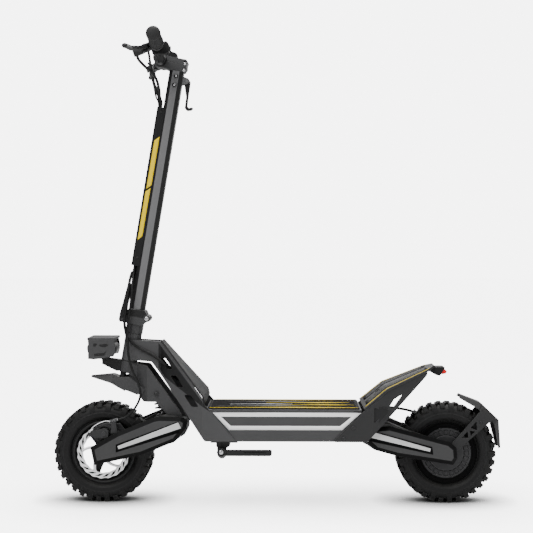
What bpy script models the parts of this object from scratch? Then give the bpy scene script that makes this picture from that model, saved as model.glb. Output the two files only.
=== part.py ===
"""Electric kick scooter, built as separate named pieces in metres with +Z up.

The front of the scooter points along -X and its left side along -Y.  Every piece is modelled in
side view about the middle of the wheelbase; one root empty then centres the whole on the origin.
"""
import math

import bmesh
import bpy
from mathutils import Matrix, Vector
from mathutils.geometry import tessellate_polygon

MM = 0.001

# Fits shared by mating pieces
GAP = 0.3 * MM
SLIP = 0.4 * MM
STEEL_PIN = 4.0 * MM
ROUNDNESS = 0.52

# Wheels
WHEEL_BASE = 910.0 * MM
TYRE_RADIUS = 132.0 * MM
TYRE_WIDTH = 80.0 * MM
TYRE_WALL = 8.0 * MM
TREAD_DEPTH = 6.0 * MM
TREAD_PITCHES = 12
RIM_RADIUS = 82.0 * MM
RIM_WIDTH = 60.0 * MM
RIM_WALL = 4.0 * MM
SPOKE_COUNT = 3
SPOKE_THICKNESS = 16.0 * MM
HUB_RADIUS = 24.0 * MM
MOTOR_RADIUS = 70.0 * MM
MOTOR_WIDTH = 64.0 * MM
MOTOR_PADS = 24
AXLE_RADIUS = 6.0 * MM
AXLE_HEAD_RADIUS = 10.5 * MM
ROTOR_RADIUS = 70.0 * MM
ROTOR_RING = 15.0 * MM
ROTOR_THICKNESS = 2.0 * MM
ROTOR_SLOTS = 15
ROTOR_OFFSET = 37.0 * MM

# Swing arms, one casting shape used at both ends
ARM_LENGTH = 211.0 * MM
ARM_INNER = 49.0 * MM
ARM_THICKNESS = 24.0 * MM
ARM_BEVEL = 6.0 * MM
ARM_STRIP_DEPTH = 1.6 * MM
FRONT_ARM_ANGLE = math.radians(18.4)
REAR_ARM_ANGLE = math.radians(13.0)
PIVOT_RADIUS = 7.0 * MM
PIVOT_HOUSING = 24.0 * MM

# Steering
STEER_RAKE = math.radians(9.5)
STEER_GROUND_X = -452.3 * MM
HEAD_TUBE_RADIUS = 22.0 * MM
HEAD_TUBE_WALL = 4.0 * MM
HEAD_TUBE_LENGTH = 74.0 * MM
STEERER_RADIUS = 14.0 * MM
STEERER_WALL = 3.5 * MM
CROWN_RADIUS = 24.0 * MM
CROWN_HEIGHT = 34.0 * MM
FORK_LEG_INNER = 35.0 * MM
FORK_LEG_THICKNESS = 12.0 * MM

# Folding joint and stem
FOLD_HEIGHT = 492.4 * MM
FOLD_PIN_BACK = 30.0 * MM
FOLD_PIN_RADIUS = 4.5 * MM
FOLD_KNUCKLE_RADIUS = 9.5 * MM
FOLD_KNUCKLE_WIDTH = 26.0 * MM
FOLD_WIDTH = 56.0 * MM
FOLD_BASE_DROP = 45.0 * MM
LATCH_FORWARD = 36.0 * MM
LATCH_DROP = 13.0 * MM
LATCH_LENGTH = 96.0 * MM
LATCH_WIDTH = 26.0 * MM
STEM_DEPTH = 38.0 * MM
STEM_WIDTH = 50.0 * MM
STEM_CHAMFER = 10.0 * MM
STEM_WALL = 3.0 * MM
STEM_LENGTH = 652.0 * MM
COVER_START = 134.0 * MM
COVER_LENGTH = 427.0 * MM
COVER_PROUD = 16.0 * MM
COVER_WALL = 2.5 * MM

# Handlebar and controls
BAR_FORWARD = 45.7 * MM
BAR_ALONG = 684.4 * MM
BAR_RADIUS = 15.9 * MM
BAR_END_RADIUS = 11.1 * MM
BAR_WALL = 2.5 * MM
BAR_HALF = 308.0 * MM
BAR_RISE = 22.0 * MM
BAR_SWEEP = 11.0 * MM
GRIP_LENGTH = 118.0 * MM
GRIP_RADIUS = 17.0 * MM
PERCH_IN = 32.0 * MM
PERCH_WIDTH = 16.0 * MM
LEVER_REACH = 72.0 * MM
LEVER_LENGTH = 128.0 * MM
CLAMP_WIDTH = 46.0 * MM
POD_IN = 46.0 * MM
THROTTLE_IN = 24.5 * MM
HOOK_LENGTH = 71.0 * MM

# Deck and frame
DECK_HALF = 101.0 * MM
DECK_BOTTOM = 172.0 * MM
DECK_TOP = 251.0 * MM
DECK_FRONT = -178.0 * MM
DECK_REAR = 206.0 * MM
DECK_WALL = 4.0 * MM
LID_THICKNESS = 4.0 * MM
MAT_THICKNESS = 2.5 * MM
MAT_MARGIN = 9.0 * MM
PLATE_THICKNESS = 4.0 * MM
NECK_HALF = 30.0 * MM
TAIL_HALF = 60.0 * MM
TAIL_THICKNESS = 5.0 * MM
BATTERY_HALF = 70.0 * MM
BATTERY_HEIGHT = 62.0 * MM
BATTERY_LENGTH = 250.0 * MM

# Lamps, stand and cords
LAMP_LENGTH = 65.0 * MM
LAMP_HEIGHT = 52.0 * MM
LAMP_WIDTH = 96.0 * MM
STAND_LENGTH = 132.0 * MM
STAND_RADIUS = 8.0 * MM
CORD_RADIUS = 2.5 * MM
HARNESS_RADIUS = 3.5 * MM
WIRE_RADIUS = 2.0 * MM
SPRING_WIRE = 2.6 * MM
SPRING_RADIUS = 15.0 * MM
SPRING_CURLS = 5

# Positions that follow from the driving sizes
FRONT_AXLE = Vector((-WHEEL_BASE / 2, 0.0, TYRE_RADIUS))
REAR_AXLE = Vector((WHEEL_BASE / 2, 0.0, TYRE_RADIUS))
FRONT_PIVOT = FRONT_AXLE + ARM_LENGTH * Vector((math.cos(FRONT_ARM_ANGLE), 0.0, math.sin(FRONT_ARM_ANGLE)))
REAR_PIVOT = REAR_AXLE + ARM_LENGTH * Vector((-math.cos(REAR_ARM_ANGLE), 0.0, math.sin(REAR_ARM_ANGLE)))
ARM_OUTER = ARM_INNER + ARM_THICKNESS
PERCH_OUT = BAR_HALF - GRIP_LENGTH - PERCH_IN
DISPLAY_OUT = PERCH_OUT - POD_IN
SWITCH_OUT = PERCH_OUT - POD_IN
THROTTLE_OUT = PERCH_OUT - THROTTLE_IN
FORK_LEG_OUTER = FORK_LEG_INNER + FORK_LEG_THICKNESS
LID_TOP = DECK_TOP + GAP + LID_THICKNESS
MAT_TOP = LID_TOP + GAP + MAT_THICKNESS
PLATE_OUTER = DECK_HALF + GAP + PLATE_THICKNESS


def on_axis(height):
    """Point of the steering axis at a height above the ground."""
    return Vector((STEER_GROUND_X + height * math.tan(STEER_RAKE), 0.0, height))


FOLD_CENTRE = on_axis(FOLD_HEIGHT)
STEM_FRAME = Matrix.Translation(FOLD_CENTRE) @ Matrix.Rotation(STEER_RAKE, 4, "Y")


def stem_point(back, side, along):
    """Turn stem coordinates (behind the axis, sideways, along the axis) into the scooter's own."""
    return STEM_FRAME @ Vector((back, side, along))


FOLD_PIN = stem_point(FOLD_PIN_BACK, 0.0, 0.0)
LATCH_PIN = stem_point(-LATCH_FORWARD, 0.0, -LATCH_DROP)
BAR_CENTRE = stem_point(-BAR_FORWARD, 0.0, BAR_ALONG)


# Shape helpers
def rounded(points, radius, steps=3):
    """Fillet the corners of a flat outline; radius is one value or one per corner."""
    count = len(points)
    result = []
    for index in range(count):
        here = Vector(points[index])
        before = Vector(points[index - 1]) - here
        after = Vector(points[(index + 1) % count]) - here
        size = radius[index] if isinstance(radius, (list, tuple)) else radius
        angle = before.angle(after)
        if size <= 0.0 or angle > math.radians(172):
            result.append(tuple(here))
            continue
        reach = min(size / math.tan(angle / 2), 0.45 * before.length, 0.45 * after.length)
        start = here + before.normalized() * reach
        end = here + after.normalized() * reach
        for step in range(steps + 1):
            t = step / steps
            blend = (1 - t) ** 2 * start + 2 * t * (1 - t) * here + t ** 2 * end
            result.append(tuple(blend))
    return result


def circle(x, z, radius, steps=12):
    """Round hole for an outline, drawn around its circle."""
    radius /= math.cos(math.pi / steps)
    return [(x + radius * math.cos(2 * math.pi * i / steps), z + radius * math.sin(2 * math.pi * i / steps))
            for i in range(steps)]


def solid(name, verts, faces):
    """Make an object from points and faces, welded and with its faces turned outward."""
    mesh = bpy.data.meshes.new(name)
    mesh.from_pydata([tuple(v) for v in verts], [], faces)
    work = bmesh.new()
    work.from_mesh(mesh)
    bmesh.ops.remove_doubles(work, verts=work.verts, dist=1e-6)
    bmesh.ops.recalc_face_normals(work, faces=work.faces)
    work.to_mesh(mesh)
    work.free()
    item = bpy.data.objects.new(name, mesh)
    bpy.context.scene.collection.objects.link(item)
    return item


def prism(name, outline, low, high, holes=()):
    """Side-view outline (x, z) run from y = low to y = high, with holes right through."""
    loops = [list(outline)] + [list(hole) for hole in holes]
    flat = [Vector((x, z, 0.0)) for loop in loops for x, z in loop]
    count = len(flat)
    verts = [(p.x, low, p.y) for p in flat] + [(p.x, high, p.y) for p in flat]
    triangles = tessellate_polygon([[Vector((x, z, 0.0)) for x, z in loop] for loop in loops])
    faces = [tuple(t) for t in triangles]
    faces += [tuple(count + i for i in reversed(t)) for t in triangles]
    start = 0
    for loop in loops:
        size = len(loop)
        for index in range(size):
            a = start + index
            b = start + (index + 1) % size
            faces.append((a, b, count + b, count + a))
        start += size
    return solid(name, verts, faces)


def sides(steps):
    """Number of flat sides that a round piece asked for with so many steps is given."""
    return max(10, 2 * round(steps * ROUNDNESS / 2)) if steps > 8 else steps


def lathe(name, profile, steps):
    """Closed profile of (radius, height) turned about Y."""
    steps = sides(steps)
    angles = [2 * math.pi * i / steps for i in range(steps)]
    size = len(profile)
    verts = [(r * math.cos(a), h, r * math.sin(a)) for a in angles for r, h in profile]
    faces = []
    for i in range(steps):
        for j in range(size):
            if profile[j][0] == 0.0 and profile[(j + 1) % size][0] == 0.0:
                continue
            a = i * size + j
            b = i * size + (j + 1) % size
            c = (i + 1) % steps * size + (j + 1) % size
            d = (i + 1) % steps * size + j
            face = [a, b, c, d]
            if profile[(j + 1) % size][0] == 0.0:
                face = [a, b, d]
            elif profile[j][0] == 0.0:
                face = [a, b, c]
            faces.append(tuple(face))
    return solid(name, verts, faces)


def rod(name, start, end, radius, steps=16, bore=0.0):
    """Round bar between two points, with a bore if one is given."""
    start = Vector(start)
    span = Vector(end) - start
    inner = bore / math.cos(math.pi / sides(steps))
    profile = [(inner, 0.0), (radius, 0.0), (radius, span.length), (inner, span.length)]
    item = lathe(name, profile, steps)
    move(item, Matrix.Translation(start) @ Vector((0, 1, 0)).rotation_difference(span).to_matrix().to_4x4())
    return item


def drill(start, end, radius, steps=16):
    """Cutter for a round hole, drawn around its circle so that a round bar of that radius fits."""
    return rod("drill", start, end, radius / math.cos(math.pi / sides(steps)), steps)


def block(name, low, high):
    """Box between two opposite corners."""
    return prism(name, [(low[0], low[2]), (high[0], low[2]), (high[0], high[2]), (low[0], high[2])],
                 low[1], high[1])


def loft(name, sections):
    """Skin through closed rings of equal length, capped at both ends."""
    size = len(sections[0])
    verts = [p for ring in sections for p in ring]
    faces = [tuple(range(size)), tuple(range((len(sections) - 1) * size, len(sections) * size))]
    for i in range(len(sections) - 1):
        for j in range(size):
            a = i * size + j
            b = i * size + (j + 1) % size
            faces.append((a, b, b + size, a + size))
    return solid(name, verts, faces)


def smooth_path(points, per_span=6):
    """Points of a smooth curve through the given ones."""
    points = [Vector(p) for p in points]
    ends = [2 * points[0] - points[1]] + points + [2 * points[-1] - points[-2]]
    result = []
    for i in range(1, len(ends) - 2):
        p0, p1, p2, p3 = ends[i - 1], ends[i], ends[i + 1], ends[i + 2]
        for step in range(per_span):
            t = step / per_span
            result.append(0.5 * (2 * p1 + (p2 - p0) * t + (2 * p0 - 5 * p1 + 4 * p2 - p3) * t ** 2
                                 + (3 * p1 - p0 - 3 * p2 + p3) * t ** 3))
    result.append(points[-1])
    kept = result[:1]
    for here, after in zip(result[1:], result[2:]):
        if (here - kept[-1]).angle(after - here) > 0.05:
            kept.append(here)
    return kept + result[-1:]


def cord(name, points, radius, resolution=2):
    """Round cord along points, kept as a curve."""
    curve = bpy.data.curves.new(name, "CURVE")
    curve.dimensions = "3D"
    curve.bevel_depth = radius
    curve.bevel_resolution = resolution
    curve.use_fill_caps = True
    spline = curve.splines.new("POLY")
    spline.points.add(len(points) - 1)
    for slot, point in zip(spline.points, points):
        slot.co = (point[0], point[1], point[2], 1.0)
    item = bpy.data.objects.new(name, curve)
    bpy.context.scene.collection.objects.link(item)
    return item


def tube(name, points, radius, sides=12, bore=0.0):
    """Bar or tube swept along points with a ring at each; radius may be one value per point."""
    points = [Vector(p) for p in points]
    sizes = radius if isinstance(radius, (list, tuple)) else [radius] * len(points)
    side = Vector((0, 1, 0))
    first = (points[1] - points[0]).normalized()
    if abs(first.dot(side)) > 0.9:
        side = Vector((0, 0, 1))
    rings = []
    inner = []
    for index, point in enumerate(points):
        ahead = points[min(index + 1, len(points) - 1)] - points[max(index - 1, 0)]
        ahead.normalize()
        side = (side - ahead * side.dot(ahead)).normalized()
        up = ahead.cross(side)
        wheel = [side * math.cos(2 * math.pi * k / sides) + up * math.sin(2 * math.pi * k / sides)
                 for k in range(sides)]
        rings.append([point + sizes[index] * w for w in wheel])
        inner.append([point + bore * w for w in wheel])
    if bore <= 0.0:
        return loft(name, rings)
    verts = [p for ring in rings for p in ring] + [p for ring in inner for p in ring]
    offset = len(rings) * sides
    faces = []
    for i in range(len(rings) - 1):
        for j in range(sides):
            a = i * sides + j
            b = i * sides + (j + 1) % sides
            faces.append((a, b, b + sides, a + sides))
            faces.append((offset + a, offset + b, offset + b + sides, offset + a + sides))
    for i in (0, len(rings) - 1):
        for j in range(sides):
            a = i * sides + j
            b = i * sides + (j + 1) % sides
            faces.append((a, b, offset + b, offset + a))
    return solid(name, verts, faces)


def move(item, matrix):
    """Carry an object's points through a matrix."""
    item.data.transform(matrix)
    if matrix.determinant() < 0.0:
        item.data.flip_normals()
    return item


def shift(item, x=0.0, y=0.0, z=0.0):
    """Slide an object's points."""
    return move(item, Matrix.Translation((x, y, z)))


def combine(base, tools, operation):
    """Join or cut an object with others and keep the result as its mesh."""
    for tool in tools if isinstance(tools, (list, tuple)) else [tools]:
        change = base.modifiers.new("change", "BOOLEAN")
        change.operation = operation
        change.solver = "EXACT"
        change.object = tool
        graph = bpy.context.evaluated_depsgraph_get()
        mesh = bpy.data.meshes.new_from_object(base.evaluated_get(graph))
        base.modifiers.clear()
        base.data = mesh
        bpy.data.objects.remove(tool)
    tidy(base)
    return base


def tidy(item):
    """Weld points that a cut left almost together."""
    work = bmesh.new()
    work.from_mesh(item.data)
    bmesh.ops.remove_doubles(work, verts=work.verts, dist=1e-7)
    bmesh.ops.dissolve_limit(work, angle_limit=0.001, verts=work.verts, edges=work.edges)
    work.to_mesh(item.data)
    work.free()


def weld(base, *tools):
    """Union."""
    return combine(base, list(tools), "UNION")


def cut(base, *tools):
    """Difference."""
    return combine(base, list(tools), "DIFFERENCE")


def crease(item, *positions):
    """Put edges across an object at the given x, so that it can be bent there."""
    work = bmesh.new()
    work.from_mesh(item.data)
    for x in positions:
        everything = work.verts[:] + work.edges[:] + work.faces[:]
        bmesh.ops.bisect_plane(work, geom=everything, plane_co=(x, 0, 0), plane_no=(1, 0, 0), dist=1e-7)
    work.to_mesh(item.data)
    work.free()
    return item


def bend(item, stations):
    """Slide points sideways by a piecewise straight function of x given as (x, y) stations."""
    for vert in item.data.vertices:
        x = vert.co.x
        left = max((s for s in stations if s[0] <= x + 1e-9), default=stations[0])
        right = min((s for s in stations if s[0] >= x - 1e-9), default=stations[-1])
        t = 0.0 if right[0] - left[0] < 1e-9 else (x - left[0]) / (right[0] - left[0])
        vert.co.y += left[1] + t * (right[1] - left[1])
    return item


def mirror(item, name):
    """Copy of an object on the other side of the scooter."""
    twin = bpy.data.objects.new(name, item.data.copy())
    bpy.context.scene.collection.objects.link(twin)
    return move(twin, Matrix.Scale(-1.0, 4, (0, 1, 0)))


def soften(item, width, segments=1, angle=40.0):
    """Bevel the sharp edges."""
    change = item.modifiers.new("edge", "BEVEL")
    change.width = width
    change.segments = segments
    change.limit_method = "ANGLE"
    change.angle_limit = math.radians(angle)
    change.use_clamp_overlap = True
    return item


def paint(item, colour, metallic, roughness):
    """Give an object a material of its own."""
    material = bpy.data.materials.new(item.name + "_finish")
    material.use_nodes = True
    shader = material.node_tree.nodes["Principled BSDF"]
    shader.inputs["Base Color"].default_value = (*colour, 1.0)
    shader.inputs["Metallic"].default_value = metallic
    shader.inputs["Roughness"].default_value = roughness
    item.data.materials.clear()
    item.data.materials.append(material)
    return item


CHARCOAL = ((0.09, 0.09, 0.095), 0.3, 0.5)
BLACK = ((0.015, 0.015, 0.017), 0.0, 0.5)
RUBBER = ((0.012, 0.012, 0.012), 0.0, 0.85)
STEEL = ((0.6, 0.6, 0.6), 1.0, 0.3)
GREY = ((0.2, 0.2, 0.21), 0.3, 0.45)
RED = ((0.6, 0.02, 0.02), 0.0, 0.2)
CLEAR = ((0.85, 0.87, 0.9), 0.0, 0.1)
YELLOW = ((0.8, 0.6, 0.05), 0.0, 0.6)


# Wheels
def tyre(name, centre):
    """Knobbly tyre with an open inside: the tread is raised block by block around the ring."""
    half = TYRE_WIDTH / 2
    pitch = 2 * math.pi / TREAD_PITCHES
    seat = (RIM_RADIUS + GAP) / math.cos(0.18 * pitch)
    low = TYRE_RADIUS - TREAD_DEPTH
    bulge = (seat + low) / 2
    side = RIM_WIDTH / 2 - RIM_WALL - 2 * GAP
    bead = seat + 3 * MM + 2 * GAP
    roof = low - 1.5 * TYRE_WALL
    foot = side - TYRE_WALL
    inner = [(seat, -side), (seat, -foot), (roof, -half + TYRE_WALL), (roof, half - TYRE_WALL), (seat, foot), (seat, side)]
    low = TYRE_RADIUS / math.cos(0.18 * pitch) - TREAD_DEPTH
    outer_y = [side, RIM_WIDTH / 2 + GAP, half, half * 0.93, half * 0.38]
    outer_r = [bead, bead, bulge, low - 7 * MM, low]
    marks = [0.07, 0.43, 0.57, 0.93]
    verts = []
    for k in range(TREAD_PITCHES):
        for index, mark in enumerate(marks):
            angle = -math.pi / 2 + (k + mark - 0.75) * pitch
            middle = TREAD_DEPTH if index > 1 else 0.0
            edge = TREAD_DEPTH if index < 2 else 0.0
            rise = [0.0, 0.0, 0.0, edge, middle]
            right = [(r + h, y) for r, h, y in zip(outer_r, rise, outer_y)]
            left = [(r, -y) for r, y in reversed(right)]
            for r, y in inner + right + left:
                verts.append((centre.x + r * math.cos(angle), y, centre.z + r * math.sin(angle)))
    size = len(inner) + 2 * len(outer_y)
    steps = TREAD_PITCHES * len(marks)
    faces = []
    for i in range(steps):
        n = (i + 1) % steps
        for j in range(size):
            m = (j + 1) % size
            faces.append((i * size + j, i * size + m, n * size + m, n * size + j))
    return paint(solid(name, verts, faces), *RUBBER)


def rim_profile():
    """Section of a rim: two flanges, two bead seats and a drop centre."""
    half = RIM_WIDTH / 2
    top = RIM_RADIUS
    wall = RIM_WALL
    return [(top + 3 * MM, -half), (top + 3 * MM, -half + wall - GAP), (top, -half + wall),
            (top, -half * 0.5), (top - 8 * MM, 0.0), (top, half * 0.5),
            (top, half - wall), (top + 3 * MM, half - wall + GAP), (top + 3 * MM, half),
            (top - wall, half), (top - 8 * MM - wall, half * 0.3), (top - 8 * MM - wall, -half * 0.3), (top - wall, -half)]


def front_rim():
    """Cast rim with tapered spokes and an open hub."""
    item = lathe("front_rim", rim_profile(), 48)
    bore = AXLE_RADIUS + SLIP
    half = SPOKE_THICKNESS
    hub = lathe("hub", [(bore, -ROTOR_OFFSET + ROTOR_THICKNESS / 2 + GAP), (HUB_RADIUS, -ROTOR_OFFSET
                + ROTOR_THICKNESS / 2 + GAP), (HUB_RADIUS, half), (bore, half)], 32)
    spokes = []
    for k in range(SPOKE_COUNT):
        angle = math.radians(8) + 2 * math.pi * k / SPOKE_COUNT
        outline = [(HUB_RADIUS * 0.75, -13 * MM), (RIM_RADIUS - 10.5 * MM, -9 * MM),
                   (RIM_RADIUS - 10.5 * MM, 9 * MM), (HUB_RADIUS * 0.75, 13 * MM)]
        spoke = prism("spoke", outline, -SPOKE_THICKNESS / 2, SPOKE_THICKNESS / 2)
        spokes.append(move(spoke, Matrix.Rotation(-angle, 4, "Y")))
    weld(item, hub, *spokes)
    return paint(shift(item, FRONT_AXLE.x, 0.0, FRONT_AXLE.z), *BLACK)


def rear_hub_motor():
    """Rim and motor shell in one, with a ring of raised pads on each cover."""
    bore = AXLE_RADIUS + SLIP
    half = MOTOR_WIDTH / 2
    web = 7 * MM
    shell = [(bore, -half), (MOTOR_RADIUS, -half), (MOTOR_RADIUS, half), (bore, half),
             (bore, half - web), (MOTOR_RADIUS - web, half - web), (MOTOR_RADIUS - web, -half + web),
             (bore, -half + web)]
    item = lathe("rear_hub_motor", rim_profile(), 48)
    drum = lathe("drum", shell, 48)
    link = lathe("link", [(MOTOR_RADIUS - 2 * MM, -12 * MM), (RIM_RADIUS - 10 * MM, -12 * MM),
                          (RIM_RADIUS - 10 * MM, 12 * MM), (MOTOR_RADIUS - 2 * MM, 12 * MM)], 48)
    weld(item, link, drum)
    return paint(shift(item, REAR_AXLE.x, 0.0, REAR_AXLE.z), *BLACK)


def brake_rotor():
    """Wavy brake disc with slanted slots on arms that meet the hub."""
    waves = 45
    outer = []
    for i in range(waves):
        angle = 2 * math.pi * i / waves
        r = ROTOR_RADIUS - 1.3 * MM * (1 - math.cos(ROTOR_SLOTS * angle)) / 2
        outer.append((r * math.cos(angle), r * math.sin(angle)))
    holes = []
    inner = ROTOR_RADIUS - ROTOR_RING
    for k in range(5):
        window = []
        for t in (0.09, 0.5, 0.91):
            a = 2 * math.pi * (k + t) / 5
            window.append((inner * math.cos(a), inner * math.sin(a)))
        for t in (0.98, 0.6, 0.22):
            a = 2 * math.pi * (k + t) / 5
            window.append(((HUB_RADIUS + 3 * MM) * math.cos(a), (HUB_RADIUS + 3 * MM) * math.sin(a)))
        holes.append(window)
    for k in range(ROTOR_SLOTS):
        a = 2 * math.pi * k / ROTOR_SLOTS
        slot = []
        for r, t in ((inner + 3.5 * MM, -0.13), (inner + 3.5 * MM, 0.03), (ROTOR_RADIUS - 4 * MM, 0.13),
                     (ROTOR_RADIUS - 4 * MM, -0.03)):
            slot.append((r * math.cos(a + t), r * math.sin(a + t)))
        holes.append(slot)
    bore = AXLE_RADIUS + SLIP
    holes.append([(bore * math.cos(2 * math.pi * i / 16), bore * math.sin(2 * math.pi * i / 16))
                  for i in range(16)])
    item = prism("brake_rotor", outer, -ROTOR_OFFSET - ROTOR_THICKNESS / 2,
                 -ROTOR_OFFSET + ROTOR_THICKNESS / 2, holes)
    return paint(shift(item, FRONT_AXLE.x, 0.0, FRONT_AXLE.z), *STEEL)


def axle(name, centre, flange):
    """Through axle with a head and a nut outside the arms and a collar either side of the hub."""
    outside = ARM_OUTER + GAP
    profile = [(0.0, -outside - 7 * MM), (AXLE_HEAD_RADIUS, -outside - 7 * MM), (AXLE_HEAD_RADIUS, -outside),
               (AXLE_RADIUS, -outside), (AXLE_RADIUS, -ARM_INNER + GAP), (flange, -ARM_INNER + GAP),
               (flange, -ROTOR_OFFSET - ROTOR_THICKNESS - GAP), (AXLE_RADIUS, -ROTOR_OFFSET - ROTOR_THICKNESS - GAP),
               (AXLE_RADIUS, ROTOR_OFFSET), (flange, ROTOR_OFFSET), (flange, ARM_INNER - GAP),
               (AXLE_RADIUS, ARM_INNER - GAP), (AXLE_RADIUS, outside), (AXLE_HEAD_RADIUS, outside),
               (AXLE_HEAD_RADIUS, outside + 7 * MM), (0.0, outside + 7 * MM)]
    return paint(shift(lathe(name, profile, 20), centre.x, 0.0, centre.z), *STEEL)


# Swing arms
def arm_outline():
    """Outline of an arm about its axle, with +x toward the pivot."""
    long = ARM_LENGTH
    return [(-27 * MM, -4 * MM), (-16 * MM, -19 * MM), (0.37 * long, -25 * MM), (0.90 * long, -30 * MM),
            (long, -22 * MM), (long + 21 * MM, 3 * MM), (long + 15 * MM, 29 * MM), (0.90 * long, 46 * MM),
            (0.80 * long, 49 * MM), (0.59 * long, 41 * MM), (-10 * MM, 28 * MM)]


def swing_arm(name, axle_point, angle, facing, bosses):
    """Left-hand arm: bevelled outer face, recess for its bright strip, bores for axle and pivot."""
    outline = rounded(arm_outline(), 6 * MM, 2)
    centre = (ARM_LENGTH * 0.5, 5 * MM)
    inset = []
    for x, z in outline:
        span = Vector((x - centre[0], z - centre[1]))
        keep = max(0.0, 1.0 - ARM_BEVEL / span.length)
        inset.append((centre[0] + span.x * (1.0 - 0.5 * ARM_BEVEL / span.length), centre[1] + span.y * keep))
    sections = [[Vector((x, -ARM_INNER, z)) for x, z in outline],
                [Vector((x, -ARM_OUTER + ARM_BEVEL, z)) for x, z in outline],
                [Vector((x, -ARM_OUTER, z)) for x, z in inset]]
    item = loft(name, sections)
    long = ARM_LENGTH
    strip = [(0.23 * long, 0.0), (long + 13 * MM, 1 * MM), (long + 10 * MM, 19 * MM), (0.23 * long, 10 * MM)]
    cut(item, prism("recess", strip, -ARM_OUTER - 2 * MM, -ARM_OUTER + ARM_STRIP_DEPTH))
    for x, radius in ((0.0, AXLE_RADIUS + GAP), (long, PIVOT_RADIUS + SLIP)):
        cut(item, drill((x, -ARM_OUTER - 5 * MM, 0), (x, -ARM_INNER + 5 * MM, 0), radius, 20))
    cut(item, prism("relief", rounded([(0.28 * long, -14 * MM), (0.80 * long, -18 * MM), (0.80 * long, 30 * MM),
                                       (0.60 * long, 28 * MM), (0.28 * long, 20 * MM)], 6 * MM, 2),
                    -ARM_OUTER + 12 * MM, -ARM_INNER + 5 * MM))
    for x, z, radius, bore, reach in bosses:
        weld(item, rod("boss", (x, -ARM_OUTER + 9 * MM, z), (x, -reach, z), radius, 16))
        cut(item, drill((x, -ARM_OUTER + 14 * MM, z), (x, -reach + 5 * MM, z), bore, 16))
    if facing > 0:
        move(item, Matrix.Rotation(-angle, 4, "Y"))
    else:
        move(item, Matrix.Rotation(angle, 4, "Y") @ Matrix.Scale(-1.0, 4, (1, 0, 0)))
    shift(item, axle_point.x, 0.0, axle_point.z)
    return paint(item, *CHARCOAL)


def shock_on_arm():
    """Lower shock eye in arm coordinates."""
    span = SHOCK_LOW - FRONT_AXLE
    turn = Matrix.Rotation(FRONT_ARM_ANGLE, 4, "Y")
    return turn @ span


def pivot_shaft(name, centre, half):
    """Pivot bolt with a head and a nut outside the two arms."""
    outside = ARM_OUTER + GAP
    profile = [(0.0, -outside - 5 * MM), (PIVOT_RADIUS + 4 * MM, -outside - 5 * MM),
               (PIVOT_RADIUS + 4 * MM, -outside), (PIVOT_RADIUS, -outside), (PIVOT_RADIUS, outside),
               (PIVOT_RADIUS + 4 * MM, outside), (PIVOT_RADIUS + 4 * MM, outside + 5 * MM),
               (0.0, outside + 5 * MM)]
    return paint(shift(lathe(name, profile, 20), centre.x, 0.0, centre.z), *STEEL)


def rear_fender():
    """Folded mudguard blade on two drilled stays that bolt inside the rear arms."""
    half = 45.5 * MM
    skin = 3 * MM
    axle_point = REAR_AXLE
    stations = [((38, 154), 0.60, 9), ((94, 132), 1.0, 17), ((140, 88), 1.0, 17), ((147, 12), 0.55, 7)]
    rings = []
    for (x, z), width, drop in stations:
        out = Vector((x, 0, z)).normalized()
        base = axle_point + Vector((x * MM, 0, z * MM))
        w = half * width
        fall = drop * MM
        outer = [base + Vector((0, -w, 0)) - out * fall, base + Vector((0, -w * 0.62, 0)),
                 base + Vector((0, w * 0.62, 0)), base + Vector((0, w, 0)) - out * fall]
        inner = [base + Vector((0, w - skin, 0)) - out * fall, base + Vector((0, w * 0.62 - skin * 0.6, 0)) - out * skin,
                 base + Vector((0, -w * 0.62 + skin * 0.6, 0)) - out * skin, base + Vector((0, -w + skin, 0)) - out * fall]
        rings.append(outer + inner)
    item = loft("rear_fender", rings)
    stay = [(14, 28), (94, 119), (117, 88), (27, 8)]
    holes = [[(38, 42), (55, 61), (57, 43)], [(62, 69), (78, 87), (80, 63)], [(63, 48), (60, 62), (76, 60)]]
    sides = []
    for low, high in ((-ARM_INNER + GAP, -ARM_INNER + GAP + 4.5 * MM), (ARM_INNER - GAP - 4.5 * MM, ARM_INNER - GAP)):
        outline = rounded([(axle_point.x + x * MM, axle_point.z + z * MM) for x, z in stay], 4 * MM, 2)
        cuts = [[(axle_point.x + x * MM, axle_point.z + z * MM) for x, z in hole] for hole in holes]
        sides.append(prism("stay", outline, low, high, cuts))
    for low, high in ((-ARM_INNER + GAP, -half + 12 * MM), (half - 12 * MM, ARM_INNER - GAP)):
        tab = [(86, 114), (95, 123), (122, 91), (114, 83)]
        outline = [(axle_point.x + x * MM, axle_point.z + z * MM) for x, z in tab]
        sides.append(prism("tab", outline, low, high))
    weld(item, *sides)
    return paint(item, *CHARCOAL)


# Fork and front suspension
SHOCK_TOP = Vector((-312 * MM, 0.0, 290 * MM))
SHOCK_LOW = FRONT_PIVOT + Vector((-42.21 * MM, 0.0, 13.4 * MM))
EYE_RADIUS = 9.0 * MM
EYE_HALF = 9.0 * MM


def along_fork(back, height):
    """Side-view point a distance behind the steering axis at a height."""
    return (on_axis(height).x + back, height)


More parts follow.
